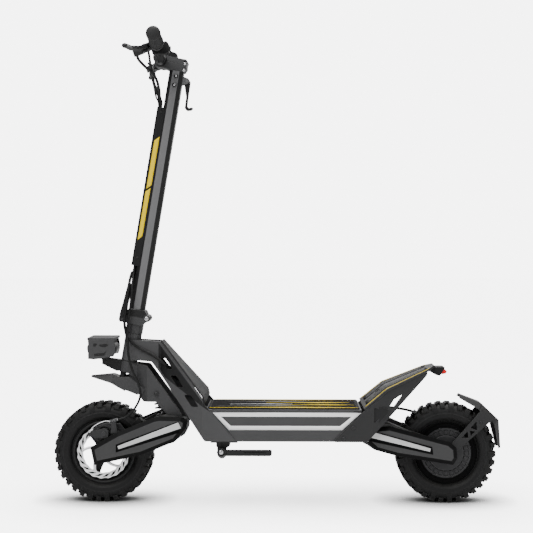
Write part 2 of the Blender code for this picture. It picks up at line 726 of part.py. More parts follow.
def fork():
    """Steerer, crown and two legs that run back and down to the arm pivot housing."""
    top_z = 375 * MM
    centre = on_axis(top_z)
    frame = Matrix.Translation(centre) @ Matrix.Rotation(STEER_RAKE, 4, "Y")
    rise = (FOLD_HEIGHT - top_z) / math.cos(STEER_RAKE) - 10 * MM
    upright = Matrix.Rotation(math.radians(90), 4, "X")
    item = lathe("fork", [(0.0, -CROWN_HEIGHT), (CROWN_RADIUS - 3 * MM, -CROWN_HEIGHT),
                          (CROWN_RADIUS, -CROWN_HEIGHT + 3 * MM), (CROWN_RADIUS, -3 * MM), (STEERER_RADIUS, -3 * MM),
                          (STEERER_RADIUS, rise), (STEERER_RADIUS - STEERER_WALL, rise),
                          (STEERER_RADIUS - STEERER_WALL, -18 * MM), (0.0, -18 * MM)], 32)
    move(item, frame @ upright)
    leg = [along_fork(12 * MM, 371 * MM), (-338 * MM, 363 * MM), (FRONT_PIVOT.x + 3 * MM, FRONT_PIVOT.z + 47 * MM),
           (FRONT_PIVOT.x + 18 * MM, FRONT_PIVOT.z + 12 * MM), (FRONT_PIVOT.x, FRONT_PIVOT.z - 14 * MM),
           (FRONT_PIVOT.x - 20 * MM, FRONT_PIVOT.z + 8 * MM), (-286 * MM, 237 * MM), (-314 * MM, 268 * MM),
           (-349 * MM, 268 * MM), (-369 * MM, 297 * MM), (-381 * MM, 325 * MM), along_fork(8 * MM, 333 * MM)]
    legs = []
    for sign in (-1.0, 1.0):
        plate = prism("leg", rounded(leg, 5 * MM, 2), -FORK_LEG_THICKNESS / 2, FORK_LEG_THICKNESS / 2)
        middle = (FORK_LEG_INNER + FORK_LEG_OUTER) / 2
        bends = [(-370 * MM, 12 * MM), (-336 * MM, middle)]
        crease(plate, *[x for x, y in bends])
        bend(plate, [(-1.0, 12 * MM)] + bends + [(1.0, middle)])
        if sign < 0:
            move(plate, Matrix.Scale(-1.0, 4, (0, 1, 0)))
        legs.append(plate)
    bridge = prism("bridge", rounded([along_fork(6 * MM, 368 * MM), (-352 * MM, 361 * MM), (-345 * MM, 340 * MM),
                                      (-360 * MM, 322 * MM), along_fork(6 * MM, 338 * MM)], 3 * MM, 2),
                   -20 * MM, 20 * MM)
    housing = rod("housing", (FRONT_PIVOT.x, -FORK_LEG_OUTER, FRONT_PIVOT.z), (FRONT_PIVOT.x, FORK_LEG_OUTER,
                  FRONT_PIVOT.z), PIVOT_HOUSING, 32)
    weld(item, bridge, *legs)
    weld(item, housing)
    cut(item, drill((FRONT_PIVOT.x, -0.1, FRONT_PIVOT.z), (FRONT_PIVOT.x, 0.1, FRONT_PIVOT.z),
                  PIVOT_RADIUS + SLIP, 20))
    cut(item, drill((SHOCK_TOP.x, -0.1, SHOCK_TOP.z), (SHOCK_TOP.x, 0.1, SHOCK_TOP.z),
                  STEEL_PIN + SLIP, 16))
    return paint(item, *CHARCOAL)


def shock_frame():
    """Frame at the top shock eye whose Y axis points at the lower eye."""
    span = SHOCK_LOW - SHOCK_TOP
    turn = Vector((0, 1, 0)).rotation_difference(span).to_matrix().to_4x4()
    return Matrix.Translation(SHOCK_TOP) @ turn, span.length


def front_shock():
    """Damper body and rod, each with its eye, pin and spring seat."""
    frame, length = shock_frame()
    seat = SPRING_RADIUS + SPRING_WIRE + 1 * MM
    body_end = 0.58 * length
    bore = 4.0 * MM + SLIP
    upper = lathe("front_shock_upper", [(0.0, 4 * MM), (6 * MM, 4 * MM), (seat, 10.5 * MM), (seat, 13.5 * MM),
                                        (9 * MM, 13.5 * MM), (9 * MM, body_end), (bore, body_end), (bore, 22 * MM),
                                        (0.0, 22 * MM)], 24)
    move(upper, frame)
    reach = FORK_LEG_OUTER + 5 * MM
    weld(upper, rod("eye", (SHOCK_TOP.x, -FORK_LEG_INNER + SLIP, SHOCK_TOP.z), (SHOCK_TOP.x, FORK_LEG_INNER - SLIP,
                    SHOCK_TOP.z), EYE_RADIUS, 20))
    weld(upper, rod("pin", (SHOCK_TOP.x, -reach, SHOCK_TOP.z), (SHOCK_TOP.x, reach, SHOCK_TOP.z), STEEL_PIN, 16))
    lower = lathe("front_shock_lower", [(0.0, 28 * MM), (4 * MM, 28 * MM), (4 * MM, length - 14 * MM),
                                        (seat, length - 14 * MM), (seat, length - 11.5 * MM), (8 * MM, length - 11 * MM),
                                        (6 * MM, length - 4 * MM),
                                        (0.0, length - 4 * MM)], 24)
    move(lower, frame)
    weld(lower, rod("eye", (SHOCK_LOW.x, -EYE_HALF, SHOCK_LOW.z), (SHOCK_LOW.x, EYE_HALF, SHOCK_LOW.z), EYE_RADIUS, 20))
    weld(lower, rod("pin", (SHOCK_LOW.x, -24 * MM, SHOCK_LOW.z), (SHOCK_LOW.x, 24 * MM, SHOCK_LOW.z), STEEL_PIN, 16))
    return paint(upper, *BLACK), paint(lower, *STEEL)


def front_spring():
    """Coil between the two spring seats."""
    frame, length = shock_frame()
    start = 13.5 * MM + SPRING_WIRE / 2 + GAP
    end = length - 14 * MM - SPRING_WIRE / 2 - GAP
    per_turn = 10
    count = SPRING_CURLS * per_turn
    points = []
    for i in range(count + 1):
        t = i / count
        angle = 2 * math.pi * SPRING_CURLS * t
        points.append(Vector((SPRING_RADIUS * math.cos(angle), start + (end - start) * t,
                              SPRING_RADIUS * math.sin(angle))))
    lead = (points[0] - points[1]).normalized()
    tail = (points[-1] - points[-2]).normalized()
    lead.y = 0.0
    tail.y = 0.0
    points = [points[0] + lead * SPRING_WIRE] + points + [points[-1] + tail * SPRING_WIRE]
    far = [(points[i] - points[j]).length for i in range(len(points)) for j in range(i + per_turn - 2, len(points))]
    print("front spring least gap to itself (mm):", round((min(far) - SPRING_WIRE) / MM, 2))
    item = cord("front_spring", [frame @ p for p in points], SPRING_WIRE / 2, 1)
    return paint(item, *BLACK)


def front_fender():
    """Folded mudguard under the crown: a pointed nose, a flat top and skirts that end at the fork legs."""
    skin = 2.5 * MM
    stations = [((-491, 334), 0.30, 4), ((-432, 338), 0.90, 22), ((-388, 322), 0.96, 28)]
    rings = []
    for (x, z), width, drop in stations:
        base = Vector((x * MM, 0, z * MM))
        out = (base - FRONT_AXLE).normalized()
        w = 42 * MM * width
        fall = drop * MM
        outer = [base + Vector((0, -w, 0)) - out * fall, base + Vector((0, -w * 0.6, 0)), base + Vector((0, w * 0.6, 0)),
                 base + Vector((0, w, 0)) - out * fall]
        inner = [base + Vector((0, w - skin, 0)) - out * fall, base + Vector((0, w * 0.6 - skin * 0.6, 0)) - out * skin,
                 base + Vector((0, -w * 0.6 + skin * 0.6, 0)) - out * skin, base + Vector((0, -w + skin, 0)) - out * fall]
        rings.append(outer + inner)
    item = loft("front_fender", rings)
    way = stem_point(0, 0, 1) - stem_point(0, 0, 0)
    ahead = stem_point(-11 * MM, 0, 0) - stem_point(0, 0, 0)
    top = on_axis(375 * MM) + ahead - way * (CROWN_HEIGHT + GAP)
    weld(item, rod("post", top, top - way * 17 * MM, 8 * MM, 20))
    return paint(item, *CHARCOAL)


# Front brake
CALIPER_PIVOT = FRONT_AXLE + Vector((6 * MM, -ROTOR_OFFSET, 55 * MM))
CALIPER_FACE = ARM_INNER + GAP + 16 * MM
CALIPER_STOP = [FRONT_AXLE + Vector((22 * MM, -CALIPER_FACE + 1 * MM, 87 * MM)),
                FRONT_AXLE + Vector((42 * MM, -CALIPER_FACE + 1 * MM, 92 * MM))]


def brake_caliper():
    """Caliper over the disc with a slot for it, a mounting foot on the arm and a cable stop."""
    x, z = FRONT_AXLE.x, FRONT_AXLE.z
    body = rounded([(x - 30 * MM, z + 42 * MM), (x - 14 * MM, z + 74 * MM), (x + 34 * MM, z + 70 * MM),
                    (x + 48 * MM, z + 46 * MM), (x + 30 * MM, z + 36 * MM)], 6 * MM, 2)
    slot = 2.2 * MM
    item = prism("brake_caliper", body, -ARM_INNER + 1.5 * MM, -ROTOR_OFFSET + 8 * MM)
    clear = block("clear", (x - 60 * MM, -ROTOR_OFFSET - ROTOR_THICKNESS / 2 - slot / 2, z), (x + 80 * MM,
                  -ROTOR_OFFSET + ROTOR_THICKNESS / 2 + slot / 2, z + ROTOR_RADIUS + 2 * MM))
    cut(item, clear)
    face = CALIPER_FACE
    actuator = rod("actuator", (CALIPER_PIVOT.x, -ARM_INNER + 6 * MM, CALIPER_PIVOT.z), (CALIPER_PIVOT.x, -face + 2 * MM,
                   CALIPER_PIVOT.z), 13 * MM, 20)
    foot = prism("foot", rounded([(x + 28 * MM, z + 40 * MM), (x + 40 * MM, z + 66 * MM), (x + 76 * MM, z + 62 * MM),
                                  (x + 70 * MM, z + 48 * MM)], 5 * MM, 2), -ARM_INNER + GAP, -TYRE_WIDTH / 2 - 1.5 * MM)
    stop = rod("stop", CALIPER_STOP[0], CALIPER_STOP[1] - Vector((GAP, 0, 0)), 4.5 * MM, 12)
    post = prism("post", [(x + 24 * MM, z + 56 * MM), (x + 27 * MM, z + 86 * MM), (x + 36 * MM, z + 88 * MM), (x + 42 * MM,
                 z + 56 * MM)], -face - 2 * MM, -ARM_INNER + 4 * MM)
    weld(item, actuator, foot, post)
    weld(item, stop)
    return paint(item, *GREY)


def caliper_lever():
    """Arm on the caliper that the brake wire pulls, with its wire clamp."""
    x, z = CALIPER_PIVOT.x, CALIPER_PIVOT.z
    near = -ARM_INNER - 16 * MM
    outline = rounded([(x + 11 * MM, z - 9 * MM), (x + 11 * MM, z + 10 * MM), (x - 2 * MM, z + 13 * MM),
                       (x - 40 * MM, z + 5 * MM), (x - 44 * MM, z - 4 * MM), (x - 36 * MM, z - 8 * MM),
                       (x - 4 * MM, z - 12 * MM)], 4 * MM, 2)
    item = prism("caliper_lever", outline, near - 5 * MM, near + 1 * MM)
    weld(item, rod("clamp", (x - 38 * MM, near - 9 * MM, z - 1 * MM), (x - 38 * MM, near, z - 1 * MM), 4.5 * MM, 12))
    weld(item, rod("nut", (x, near - 9 * MM, z), (x, near, z), 6 * MM, 6))
    return paint(item, *STEEL)


# Headlamp
LAMP_PIVOT = Vector((-453 * MM, 0.0, 372 * MM))


def headlamp_bracket():
    """Pad on the crown with two cheeks that hold the tilt bolt."""
    x, z = LAMP_PIVOT.x, LAMP_PIVOT.z
    front = on_axis(360 * MM).x - CROWN_RADIUS
    cheek = rounded([(x - 9 * MM, z - 6 * MM), (x - 6 * MM, z + 9 * MM), (x + 10 * MM, z + 8 * MM), (front - 1 * MM, z + 5 * MM),
                     (front - 1 * MM, z - 25 * MM), (front - 7 * MM, z - 25 * MM)], 2.5 * MM, 2)
    item = prism("headlamp_bracket", cheek, -15 * MM, -12 * MM)
    other = prism("cheek", cheek, 12 * MM, 15 * MM)
    pad = block("pad", (front - 6 * MM, -15 * MM, z - 25 * MM), (front + 8 * MM, 15 * MM, z + 5 * MM))
    pin = rod("pin", (x, -18 * MM, z), (x, 18 * MM, z), STEEL_PIN, 16)
    weld(item, other, pad, pin)
    axis = on_axis(340 * MM)
    way = stem_point(0, 0, 1) - stem_point(0, 0, 0)
    cut(item, drill(axis - way * 60 * MM, axis + way * 90 * MM, CROWN_RADIUS + GAP, 32))
    return paint(item, *BLACK)


def headlamp():
    """Lamp housing with a tilt lug and rounded back, and its front lens."""
    x, z = LAMP_PIVOT.x, LAMP_PIVOT.z
    half = LAMP_WIDTH / 2
    back = x + LAMP_LENGTH * 0.40
    front = x - LAMP_LENGTH * 0.60
    low = z + 10 * MM
    high = low + LAMP_HEIGHT
    shell = rounded([(front, low + 6 * MM), (front - 2 * MM, high - 4 * MM), (front + 2 * MM, high), (back - 6 * MM, high),
                     (back, high - 10 * MM), (back - 3 * MM, low + 12 * MM), (back - 14 * MM, low), (front + 10 * MM, low)],
                    [3 * MM, 2 * MM, 0, 5 * MM, 8 * MM, 8 * MM, 6 * MM, 3 * MM], 2)
    item = prism("headlamp_housing", shell, -half, half)
    pocket = block("pocket", (front - 5 * MM, -half + 6 * MM, low + 12 * MM), (front + 18 * MM, half - 6 * MM, high - 8 * MM))
    cut(item, pocket)
    lug = prism("lug", rounded([(x - 8 * MM, z - 8 * MM), (x + 8 * MM, z - 8 * MM), (x + 10 * MM, low + 2 * MM),
                                (x - 10 * MM, low + 2 * MM)], 3 * MM, 2), -11.5 * MM, 11.5 * MM)
    weld(item, lug)
    cut(item, drill((x, -20 * MM, z), (x, 20 * MM, z), STEEL_PIN + SLIP, 16))
    lens = block("headlamp_lens", (front + 3 * MM, -half + 6 * MM + GAP, low + 12 * MM + GAP),
                 (front + 8 * MM, half - 6 * MM - GAP, high - 8 * MM - GAP))
    return paint(item, *BLACK), paint(lens, *CLEAR)


# Neck, deck and tail
def stem_prism(name, outline, low, high, holes=()):
    """Prism whose outline is (behind the axis, along the axis) and which runs across the scooter."""
    return move(prism(name, outline, low, high, holes), STEM_FRAME)


def stem_extrusion(name, outline, low, high, holes=()):
    """Prism whose outline is (behind the axis, sideways) and which runs along the axis."""
    swap = Matrix(((1, 0, 0, 0), (0, 0, 1, 0), (0, 1, 0, 0), (0, 0, 0, 1)))
    return move(prism(name, outline, low, high, holes), STEM_FRAME @ swap)


def axis_rod(name, low, high, radius, bore=0.0, steps=32):
    """Round piece on the steering axis between two stations along it."""
    return rod(name, stem_point(0, 0, low), stem_point(0, 0, high), radius, steps, bore)


HEAD_TOP = -FOLD_BASE_DROP - 1.0 * MM
HEAD_LOW = HEAD_TOP - HEAD_TUBE_LENGTH
SLOT_SLANT = 0.7
NECK_EDGE = [(-303 * MM, 427 * MM), (-188 * MM, 288 * MM), (-184 * MM, 272 * MM)]


def neck_frame():
    """Head tube, neck box and two flared side plates with slots, welded into one frame."""
    item = axis_rod("neck_frame", HEAD_LOW, HEAD_TOP, HEAD_TUBE_RADIUS)
    box = prism("box", [(-383 * MM, 429 * MM), (-306 * MM, 424 * MM), (-325 * MM, 376 * MM), (-388 * MM, 380 * MM)],
                -NECK_HALF + 1 * MM, NECK_HALF - 1 * MM)
    outline = [(-379 * MM, 431 * MM)] + NECK_EDGE
    outline += [(-174 * MM, 261 * MM), (-101 * MM, DECK_BOTTOM + 2 * MM), (-181 * MM, DECK_BOTTOM + 1 * MM),
                (-327 * MM, 373 * MM), (-384 * MM, 378 * MM)]
    slots = []
    for x, z, width, height in ((-287, 369, 17, 28), (-257, 324, 18, 30), (-217, 276, 21, 30)):
        shape = [(-0.5, 0.5), (0.5, 0.5), (0.5, -0.5), (-0.5, -0.5)]
        slots.append(rounded([((x + u * width - v * SLOT_SLANT * height) * MM, (z + v * height) * MM) for u, v in shape],
                             3 * MM, 2))
    outer = DECK_HALF + GAP + PLATE_THICKNESS / 2
    inner = NECK_HALF - PLATE_THICKNESS / 2
    radii = [4 * MM, 6 * MM, 4 * MM, 2 * MM, 4 * MM, 2 * MM, 4 * MM, 5 * MM, 4 * MM]
    plate = prism("plate", rounded(outline, radii, 2), -PLATE_THICKNESS / 2, PLATE_THICKNESS / 2, slots)
    crease(plate, -303 * MM, -186 * MM)
    bend(plate, [(-1.0, inner), (-303 * MM, inner), (-186 * MM, outer), (1.0, outer)])
    twin = mirror(plate, "twin")
    weld(item, box)
    weld(item, plate)
    weld(item, twin)
    cut(item, drill(stem_point(0, 0, HEAD_LOW - 9 * MM), stem_point(0, 0, HEAD_TOP + 9 * MM),
                    HEAD_TUBE_RADIUS - HEAD_TUBE_WALL, 32))
    return paint(item, *CHARCOAL)


def headset_cartridge():
    """Upper and lower steering bearings on one spacer sleeve."""
    inner = STEERER_RADIUS + GAP
    outer = HEAD_TUBE_RADIUS - HEAD_TUBE_WALL - GAP
    low, high = HEAD_LOW + 1 * MM, HEAD_TOP - 1 * MM
    race = 12 * MM
    relief = inner + 1.6 * MM
    profile = [(inner, 0.0), (outer, 0.0), (outer, high - low), (inner, high - low), (inner, high - low - race),
               (relief, high - low - race - 2 * MM), (relief, race + 2 * MM), (inner, race)]
    item = lathe("headset_cartridge", profile, 32)
    start = stem_point(0, 0, low)
    way = stem_point(0, 0, high) - start
    move(item, Matrix.Translation(start) @ Vector((0, 1, 0)).rotation_difference(way).to_matrix().to_4x4())
    return paint(item, *STEEL)


def neck_cover():
    """Black cover plate lying on the upper edges of the side plates."""
    halves = [NECK_HALF, PLATE_OUTER - 1 * MM, PLATE_OUTER]
    normals = [Vector((0.77, 0, 0.64)), Vector((0.91, 0, 0.42)), Vector((0.97, 0, 0.24))]
    rings = []
    for (x, z), half, out in zip(NECK_EDGE, halves, normals):
        base = Vector((x, 0, z)) + out * (GAP + 0.6 * MM)
        top = base + out * 4 * MM
        rings.append([base + Vector((0, -half, 0)), base + Vector((0, half, 0)), top + Vector((0, half - 2 * MM, 0)),
                      top + Vector((0, -half + 2 * MM, 0))])
    return paint(loft("neck_cover", rings), *BLACK)


def deck_shell():
    """Tray for the battery with side walls, end walls and the rear arm pivot housing."""
    item = block("deck_shell", (DECK_FRONT, -DECK_HALF, DECK_BOTTOM), (DECK_REAR, DECK_HALF, DECK_TOP))
    cut(item, block("pocket", (DECK_FRONT + DECK_WALL, -DECK_HALF + DECK_WALL, DECK_BOTTOM + DECK_WALL),
                    (DECK_REAR - DECK_WALL, DECK_HALF - DECK_WALL, DECK_TOP + 9 * MM)))
    reach = ARM_INNER - 1 * MM
    x, z = REAR_PIVOT.x, REAR_PIVOT.z
    web = prism("web", [(DECK_REAR - 2 * MM, DECK_BOTTOM + 3 * MM), (x, z - PIVOT_HOUSING + 2 * MM), (x, z + PIVOT_HOUSING - 2 * MM),
                        (DECK_REAR - 2 * MM, z + 48 * MM)], -reach, reach)
    weld(item, web, rod("housing", (x, -reach, z), (x, reach, z), PIVOT_HOUSING, 28))
    cut(item, drill((x, -0.1, z), (x, 0.1, z), PIVOT_RADIUS + SLIP, 20))
    return paint(item, *CHARCOAL)


def deck_lid():
    """Screwed-down top plate of the deck."""
    low = DECK_TOP + GAP
    item = block("deck_lid", (DECK_FRONT, -DECK_HALF, low), (TAIL_LINE[0][0] - 6 * MM, DECK_HALF, LID_TOP))
    return paint(item, *CHARCOAL)


def deck_mat():
    """Grip mat with cut corners."""
    front = DECK_FRONT + 4 * MM
    rear = TAIL_LINE[0][0] - 10 * MM
    half = DECK_HALF - MAT_MARGIN
    corner = 14 * MM
    outline = [(front, -half + corner), (front + corner, -half), (rear, -half), (rear, half), (front + corner, half),
               (front, half - corner)]
    item = prism("deck_mat", outline, LID_TOP + GAP, MAT_TOP)
    move(item, Matrix(((1, 0, 0, 0), (0, 0, 1, 0), (0, 1, 0, 0), (0, 0, 0, 1))))
    return paint(item, *YELLOW)


def battery_pack():
    """Wrapped battery on the floor of the tray."""
    low = DECK_BOTTOM + DECK_WALL + GAP
    front = DECK_FRONT + DECK_WALL + 8 * MM
    item = block("battery_pack", (front, -BATTERY_HALF, low), (front + BATTERY_LENGTH, BATTERY_HALF, low + BATTERY_HEIGHT))
    return paint(soften(item, 4 * MM), (0.05, 0.1, 0.3), 0.0, 0.4)


def motor_controller():
    """Finned controller behind the battery."""
    low = DECK_BOTTOM + DECK_WALL + GAP
    front = DECK_FRONT + DECK_WALL + 8 * MM + BATTERY_LENGTH + 12 * MM
    rear = DECK_REAR - DECK_WALL - 8 * MM
    item = block("motor_controller", (front, -BATTERY_HALF * 0.75, low), (rear, BATTERY_HALF * 0.75, low + 26 * MM))
    fins = []
    for k in range(5):
        y = (-0.6 + 0.3 * k) * BATTERY_HALF
        fins.append(block("fin", (front, y - 2 * MM, low + 25 * MM), (rear, y + 2 * MM, low + 38 * MM)))
    return paint(weld(item, *fins), *GREY)


TAIL_LINE = [(233 * MM, 258.5 * MM), (294 * MM, 309 * MM), (404 * MM, 356.5 * MM), (424 * MM, 365 * MM)]


def tail_plate():
    """Left tail side plate: bent inward behind the deck, with a window and a slit."""
    outline = [(152 * MM, DECK_BOTTOM), (241 * MM, DECK_BOTTOM), (401 * MM, 341 * MM), (404 * MM, 350.4 * MM),
               (297 * MM, 304.3 * MM), (237 * MM, 254.6 * MM), (230 * MM, 250 * MM)]
    window = rounded([(259 * MM, 263 * MM), (288 * MM, 250 * MM), (259 * MM, 218 * MM)], 3 * MM, 2)
    slit = rounded([(300 * MM, 262 * MM), (312 * MM, 281 * MM), (337 * MM, 296 * MM), (309 * MM, 259 * MM)], 2 * MM, 2)
    radii = [3 * MM, 5 * MM, 5 * MM, 2 * MM, 4 * MM, 2 * MM, 3 * MM]
    item = prism("tail_plate_left", rounded(outline, radii, 2), -PLATE_THICKNESS / 2, PLATE_THICKNESS / 2, [window, slit])
    outer = DECK_HALF + GAP + PLATE_THICKNESS / 2
    crease(item, 256 * MM)
    bend(item, [(-1.0, -outer), (256 * MM, -outer), (404 * MM, -TAIL_HALF + PLATE_THICKNESS / 2), (1.0, -TAIL_HALF)])
    return paint(item, *CHARCOAL)


def tail_footplate():
    """Kick plate behind the deck: two slopes and a narrowed tip, with a slot for the folding hook."""
    halves = [DECK_HALF + PLATE_THICKNESS + GAP, TAIL_HALF + 36 * MM, TAIL_HALF + 1 * MM, 26 * MM]
    normals = [Vector((-0.64, 0, 0.77)), Vector((-0.52, 0, 0.854)), Vector((-0.396, 0, 0.918)), Vector((-0.39, 0, 0.92))]
    rings = []
    for (x, z), half, out in zip(TAIL_LINE, halves, normals):
        top = Vector((x, 0, z))
        low = top - out * TAIL_THICKNESS
        rings.append([low + Vector((0, -half, 0)), low + Vector((0, half, 0)), top + Vector((0, half, 0)),
                      top + Vector((0, -half, 0))])
    item = loft("tail_footplate", rings)
    cut(item, block("slot", (270 * MM, -8 * MM, 270 * MM), (282 * MM, 8 * MM, 330 * MM)))
    return paint(item, *CHARCOAL)


def tail_lamp():
    """Lamp housing hung under the tip of the tail, and its lens."""
    outline = [(406 * MM, 351.2 * MM), (424 * MM, 359.2 * MM), (454 * MM, 359.2 * MM), (440 * MM, 336 * MM), (430 * MM, 338 * MM)]
    item = prism("tail_lamp_housing", rounded(outline, [2 * MM, 0, 2 * MM, 2 * MM, 3 * MM], 2), -24 * MM, 24 * MM)
    lens = prism("tail_lamp_lens", rounded([(442.4 * MM + GAP, 339.5 * MM), (456 * MM, 342 * MM), (459 * MM, 348 * MM),
                                            (451.6 * MM + GAP, 354.8 * MM)], 1.5 * MM, 2), -21 * MM, 21 * MM)
    return paint(item, *BLACK), paint(lens, *RED)


# Kickstand
STAND_IN = 31.0 * MM
STAND_PIVOT = Vector((-138 * MM, -DECK_HALF + STAND_IN, 135 * MM))
STAND_AXIS = Vector((0.0, 0.954, -0.3)).normalized()


def kickstand():
    """Bracket plate with a tilted hinge barrel, and the leg that swings down and outward."""
    top = DECK_BOTTOM - GAP
    item = block("kickstand_bracket", (-166 * MM, -DECK_HALF + 7 * MM, top - 4 * MM),
                 (-96 * MM, STAND_PIVOT.y + STAND_IN - 1 * MM, top))
    lug = block("lug", (-150 * MM, STAND_PIVOT.y - 2.5 * MM, STAND_PIVOT.z + 3 * MM),
                (-126 * MM, STAND_PIVOT.y + 12 * MM, top - 2 * MM))
    weld(item, lug)
    reach = STAND_AXIS * 9 * MM
    weld(item, rod("barrel", STAND_PIVOT - reach, STAND_PIVOT + reach, 12 * MM, 20))
    pin_start = STAND_PIVOT + STAND_AXIS * 6 * MM
    pin_end = STAND_PIVOT - STAND_AXIS * 29 * MM
    weld(item, rod("pin", pin_start, pin_end, STEEL_PIN, 16))
    leg_centre = STAND_PIVOT - STAND_AXIS * (9.4 * MM + 8.5 * MM)
    ring = STAND_AXIS * 8.5 * MM
    leg = rod("kickstand_leg", leg_centre - ring, leg_centre + ring, 12 * MM, 20)
    half = STAND_RADIUS
    shank = prism("shank", rounded([(5 * MM, -half), (STAND_LENGTH, -half), (STAND_LENGTH, half), (5 * MM, half)],
                                   [0, 6 * MM, 4 * MM, 0], 2), -5 * MM, 5 * MM)
    groove = [(STAND_LENGTH * 0.45, -2.5 * MM), (STAND_LENGTH * 0.88, -2.5 * MM), (STAND_LENGTH * 0.88, 2.5 * MM),
              (STAND_LENGTH * 0.45, 2.5 * MM)]
    cut(shank, prism("groove", rounded(groove, 1.5 * MM, 2), -9 * MM, -2 * MM))
    lean = math.atan2(STAND_AXIS.z, STAND_AXIS.y)
    weld(leg, move(shank, Matrix.Translation(leg_centre) @ Matrix.Rotation(lean, 4, "X")))
    cut(leg, drill(leg_centre - ring * 2, leg_centre + ring * 2, STEEL_PIN + SLIP, 16))
    return paint(item, *BLACK), paint(leg, *BLACK)


# Folding joint and stem
def fold_base():
    """Clamp on the steerer with hinge knuckles behind, a latch lug in front and their pins."""
    half = FOLD_WIDTH / 2
    knuckle = FOLD_KNUCKLE_RADIUS
    centre = FOLD_KNUCKLE_WIDTH / 2
    item = axis_rod("fold_base", -FOLD_BASE_DROP, -17 * MM, 23 * MM)
    outline = rounded([(-25 * MM, -19 * MM), (-26 * MM, -GAP), (FOLD_PIN_BACK, -GAP), (FOLD_PIN_BACK - 1 * MM, -knuckle),
                       (20 * MM, -21 * MM)], [3 * MM, 0, 0, 0, 4 * MM], 2)
    slab = stem_prism("slab", outline, -half + 0.6 * MM, half - 0.6 * MM)
    weld(item, slab)
    cut(item, rod("clear", stem_point(FOLD_PIN_BACK, -centre - SLIP, 0), stem_point(FOLD_PIN_BACK, centre + SLIP, 0),
                  knuckle + SLIP + GAP, 24))
    for sign in (-1, 1):
        near = sign * (centre + SLIP)
        weld(item, rod("knuckle", stem_point(FOLD_PIN_BACK, near, 0), stem_point(FOLD_PIN_BACK, sign * half, 0), knuckle, 24))
    lug = stem_prism("lug", rounded([(-24 * MM, -20 * MM), (-24 * MM, -5 * MM), (-LATCH_FORWARD, -LATCH_DROP + 7 * MM),
                                     (-LATCH_FORWARD - 7 * MM, -LATCH_DROP), (-LATCH_FORWARD, -LATCH_DROP - 7 * MM)],
                                    2 * MM, 2), -7 * MM, 7 * MM)
    pins = [rod("pin", stem_point(FOLD_PIN_BACK, -half - 3 * MM, 0), stem_point(FOLD_PIN_BACK, half + 3 * MM, 0), FOLD_PIN_RADIUS, 16),
            rod("pin", stem_point(-LATCH_FORWARD, -15 * MM, -LATCH_DROP), stem_point(-LATCH_FORWARD, 15 * MM, -LATCH_DROP),
                STEEL_PIN, 16)]
    weld(item, lug, *pins)
    cut(item, drill(stem_point(0, 0, -FOLD_BASE_DROP - 9 * MM), stem_point(0, 0, -8 * MM), STEERER_RADIUS + GAP, 32))
    return paint(item, *CHARCOAL)


def latch_lever():
    """Latch lever with two cheeks about its pin and a thumb end beside the stem."""
    top = LATCH_LENGTH - LATCH_DROP
    outline = rounded([(-43 * MM, -21 * MM), (-30.5 * MM, -20 * MM), (-29.5 * MM, 0.0), (-28 * MM, top), (-36 * MM, top + 3 * MM),
                       (-41 * MM, top * 0.4), (-45 * MM, 0.0)], 3 * MM, 2)
    half = LATCH_WIDTH / 2
    hole = circle(-LATCH_FORWARD, -LATCH_DROP, STEEL_PIN + SLIP)
    item = stem_prism("latch_lever", outline, -half, half, [hole])
    cut(item, stem_prism("gap", [(-60 * MM, -40 * MM), (-10 * MM, -40 * MM), (-10 * MM, 1 * MM), (-60 * MM, 1 * MM)],
                         -7 * MM - SLIP, 7 * MM + SLIP))
    cut(item, stem_prism("finger", [(-60 * MM, top * 0.55), (-33 * MM, top * 0.62), (-33 * MM, top * 0.85), (-60 * MM, top * 0.9)],
                         -half + 4 * MM, half - 4 * MM))
    return paint(item, *GREY)


STEM_FOOT = 16.0 * MM
STEM_TOP = STEM_FOOT + STEM_LENGTH - 6 * MM
HOOK_PIVOT = (30.4 * MM, STEM_TOP - 21 * MM)


def stem_section(inset):
    """Chamfered box section of the stem, set in from the outside by a distance."""
    a = STEM_DEPTH / 2 - inset
    w = STEM_WIDTH / 2 - inset
    c = STEM_CHAMFER - 0.6 * inset
    return [(-a, -w + c), (-a + c, -w), (a - c, -w), (a, -w + c), (a, w - c), (a - c, w), (-a + c, w), (-a, w - c)]


